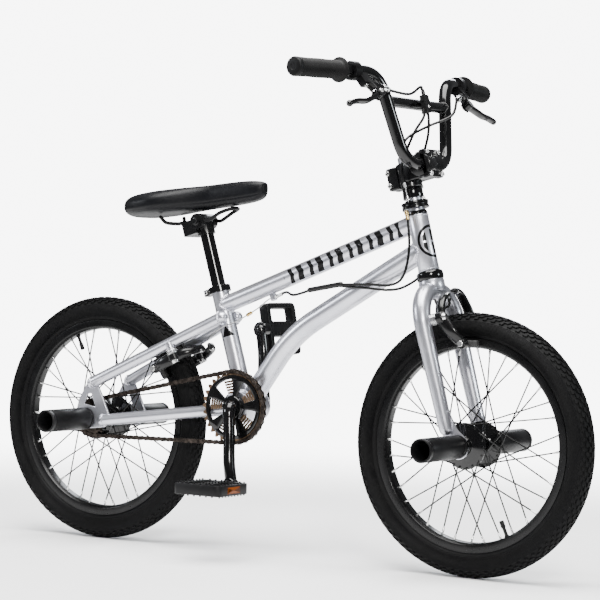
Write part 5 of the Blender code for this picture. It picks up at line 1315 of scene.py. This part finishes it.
def saddleSurface(t):
    # half width, top height and depth of the saddle at t, from 0 at the rear to 1 at the nose
    broad = 0.5 * (1 + np.cos(math.pi * np.clip((t - 0.22) / 0.42, 0, 1)))
    closing = np.clip(1 - np.abs(2 * t - 1) ** 5, 0, 1)
    top = 0.648 + 0.0345 * t - 0.012 * (1 - np.sqrt(closing))
    return (0.021 + 0.049 * broad) * closing ** 0.27, top, (0.0495 - 0.006 * t) * closing ** 0.22


def makeSaddle(looks):
    t = (0.5 - 0.5 * np.cos(np.linspace(0.0, math.pi, 81)))[:, None]
    turn = (np.arange(72) * tau / 72)[None]
    width, top, depth = saddleSurface(t)
    side = np.sign(np.cos(turn)) * np.abs(np.cos(turn)) ** 0.66
    lift = np.where(np.sin(turn) > 0, np.abs(np.sin(turn)) ** 0.92, -np.abs(np.sin(turn)) ** 0.62)
    x = seat["rear"] + (seat["nose"] - seat["rear"]) * t + 0 * turn
    # the padding crowns a little towards the middle, dips along it, and is drawn in at the lower edge
    y = width * side * np.where(lift < -0.35, 1 + (lift + 0.35) * 0.16, 1.0)
    dip = 0.0016 * np.exp(-(y / 0.012) ** 2) * np.clip(lift, 0, 1) * np.sin(math.pi * t) ** 0.5
    tuck = 0.0012 * np.exp(-((lift + 0.42) / 0.06) ** 2)
    z = top - depth / 2 + depth / 2 * lift - dip
    grid = np.stack([x, y * (1 - tuck / np.maximum(width, 0.01)), z], -1)
    made = piece("saddleCover", [skin(grid)], looks["vinyl"], "seat", "saddle_vinyl", ["saddle"], 80)
    smooth = made.modifiers.new("smooth", "SUBSURF")
    smooth.levels = smooth.render_levels = 1


def makeSeat(looks):
    post = [onSeatTube(0.100), onSeatTube(0.344)]
    piece("seatPostTube", [sweep(stretchedOut(post), seat["postRadius"], 48)], looks["glossBlack"], "seat",
          "gloss_black", ["seat_post"])
    slope = unit([0.05, 0, 0.006])
    left = [np.array([-0.2520, 0.0370, 0.6062]), np.array([-0.2440, 0.0300, 0.5965])]
    left += [seatHead + leftWay * 0.020 + slope * reach for reach in (-0.046, -0.036, -0.016, 0, 0.016, 0.026)]
    left += [np.array([-0.1320, 0.0190, 0.6170]), np.array([-0.1120, 0.0100, 0.6248])]
    rails = smoothRoute(left + [mirrored(point, -1) for point in left[::-1]], 10)
    piece("saddleRailWire", [domed(rails, seat["railRadius"], 24)], looks["satinBlack"], "seat", "satin_black",
          ["saddle_rails"])
    eased("seat_clamp", looks["alloyBlack"], "seat", "black_alloy", 0.0032)
    eased("seat_post_clamp", looks["glossBlack"], "frame", "gloss_black", 0.0008)
    across = leftWay
    bolts = [lathe([(0.0052, -0.0290), (0.0078, -0.0280), (0.0078, -0.0250)], seatHead, across, 28),
             hexNut(seatHead - across * 0.0285, -across, 0.0056, 0.0046),
             lathe([(0.0078, 0.0250), (0.0078, 0.0280), (0.0052, 0.0290)], seatHead, across, 28),
             hexNut(seatHead + across * 0.0285, across, 0.0056, 0.0046)]
    piece("seatClampBolts", bolts, looks["alloyBlack"], "seat", "black_alloy")
    collar = onSeatTube(tubes["seatLength"] - 0.006, -0.0245)
    piece("seatCollarBolt", [capScrew(collar - across * 0.0088, -across, 0.0036, 0.0032),
                             hexNut(collar + across * 0.0088, across, 0.0038, 0.0026)], looks["steel"], "frame",
          "bright_steel")
    makeSaddle(looks)


# ---- floor
def makeFloor():
    # pale and matt, fading into the backdrop a few metres out
    look = Look("paleFloor")
    cloud = look.noise(1.5, 2)
    look.feed("Base Color", look.blend(cloud, (0.88, 0.88, 0.88), (0.92, 0.92, 0.925)))
    look.feed("Roughness", 0.8 + (look.noise(40, 2) - 0.5) * 0.1)
    east, north = look.along((1, 0, 0)), look.along((0, 1, 0))
    look.feed("Alpha", 1 - (east * east + north * north).power(0.5).between(*studio["floorFade"]))
    points, faces = lathe([(0.0001, 0.0), (studio["floorSize"], 0.0)], np.zeros(3), upWay, 96)
    mesh = bpy.data.meshes.new("floor")
    mesh.from_pydata([(x, y, -0.0002) for x, y, z in points.tolist()], [], faces[:96])
    floor = bpy.data.objects.new("floor", mesh)
    bpy.context.scene.collection.objects.link(floor)
    floor.data.materials.append(look.material)


makeCamera()
makeLights()
print("camera and lights ready")
looks = makeLooks()
print("materials ready:", len(looks))
makeFrame(looks)
print("frame tubes ready")
makeHeadset(looks)
makeFork(looks)
makeStem(looks)
makeHandlebar(looks)
makeLevers(looks)
print("steering ready")
makeCables(looks)
makeBrake("front", looks)
makeBrake("rear", looks)
print("cables and brakes ready")
makeWheel("front", frontAxle, 0.050, looks)
makeWheel("rear", rearAxle, 0.055, looks)
print("wheels ready")
makeDrive(looks)
makeChain(looks)
makePedals(looks)
print("drive ready")
makeSeat(looks)
makeFloor()
print("saddle and floor ready")
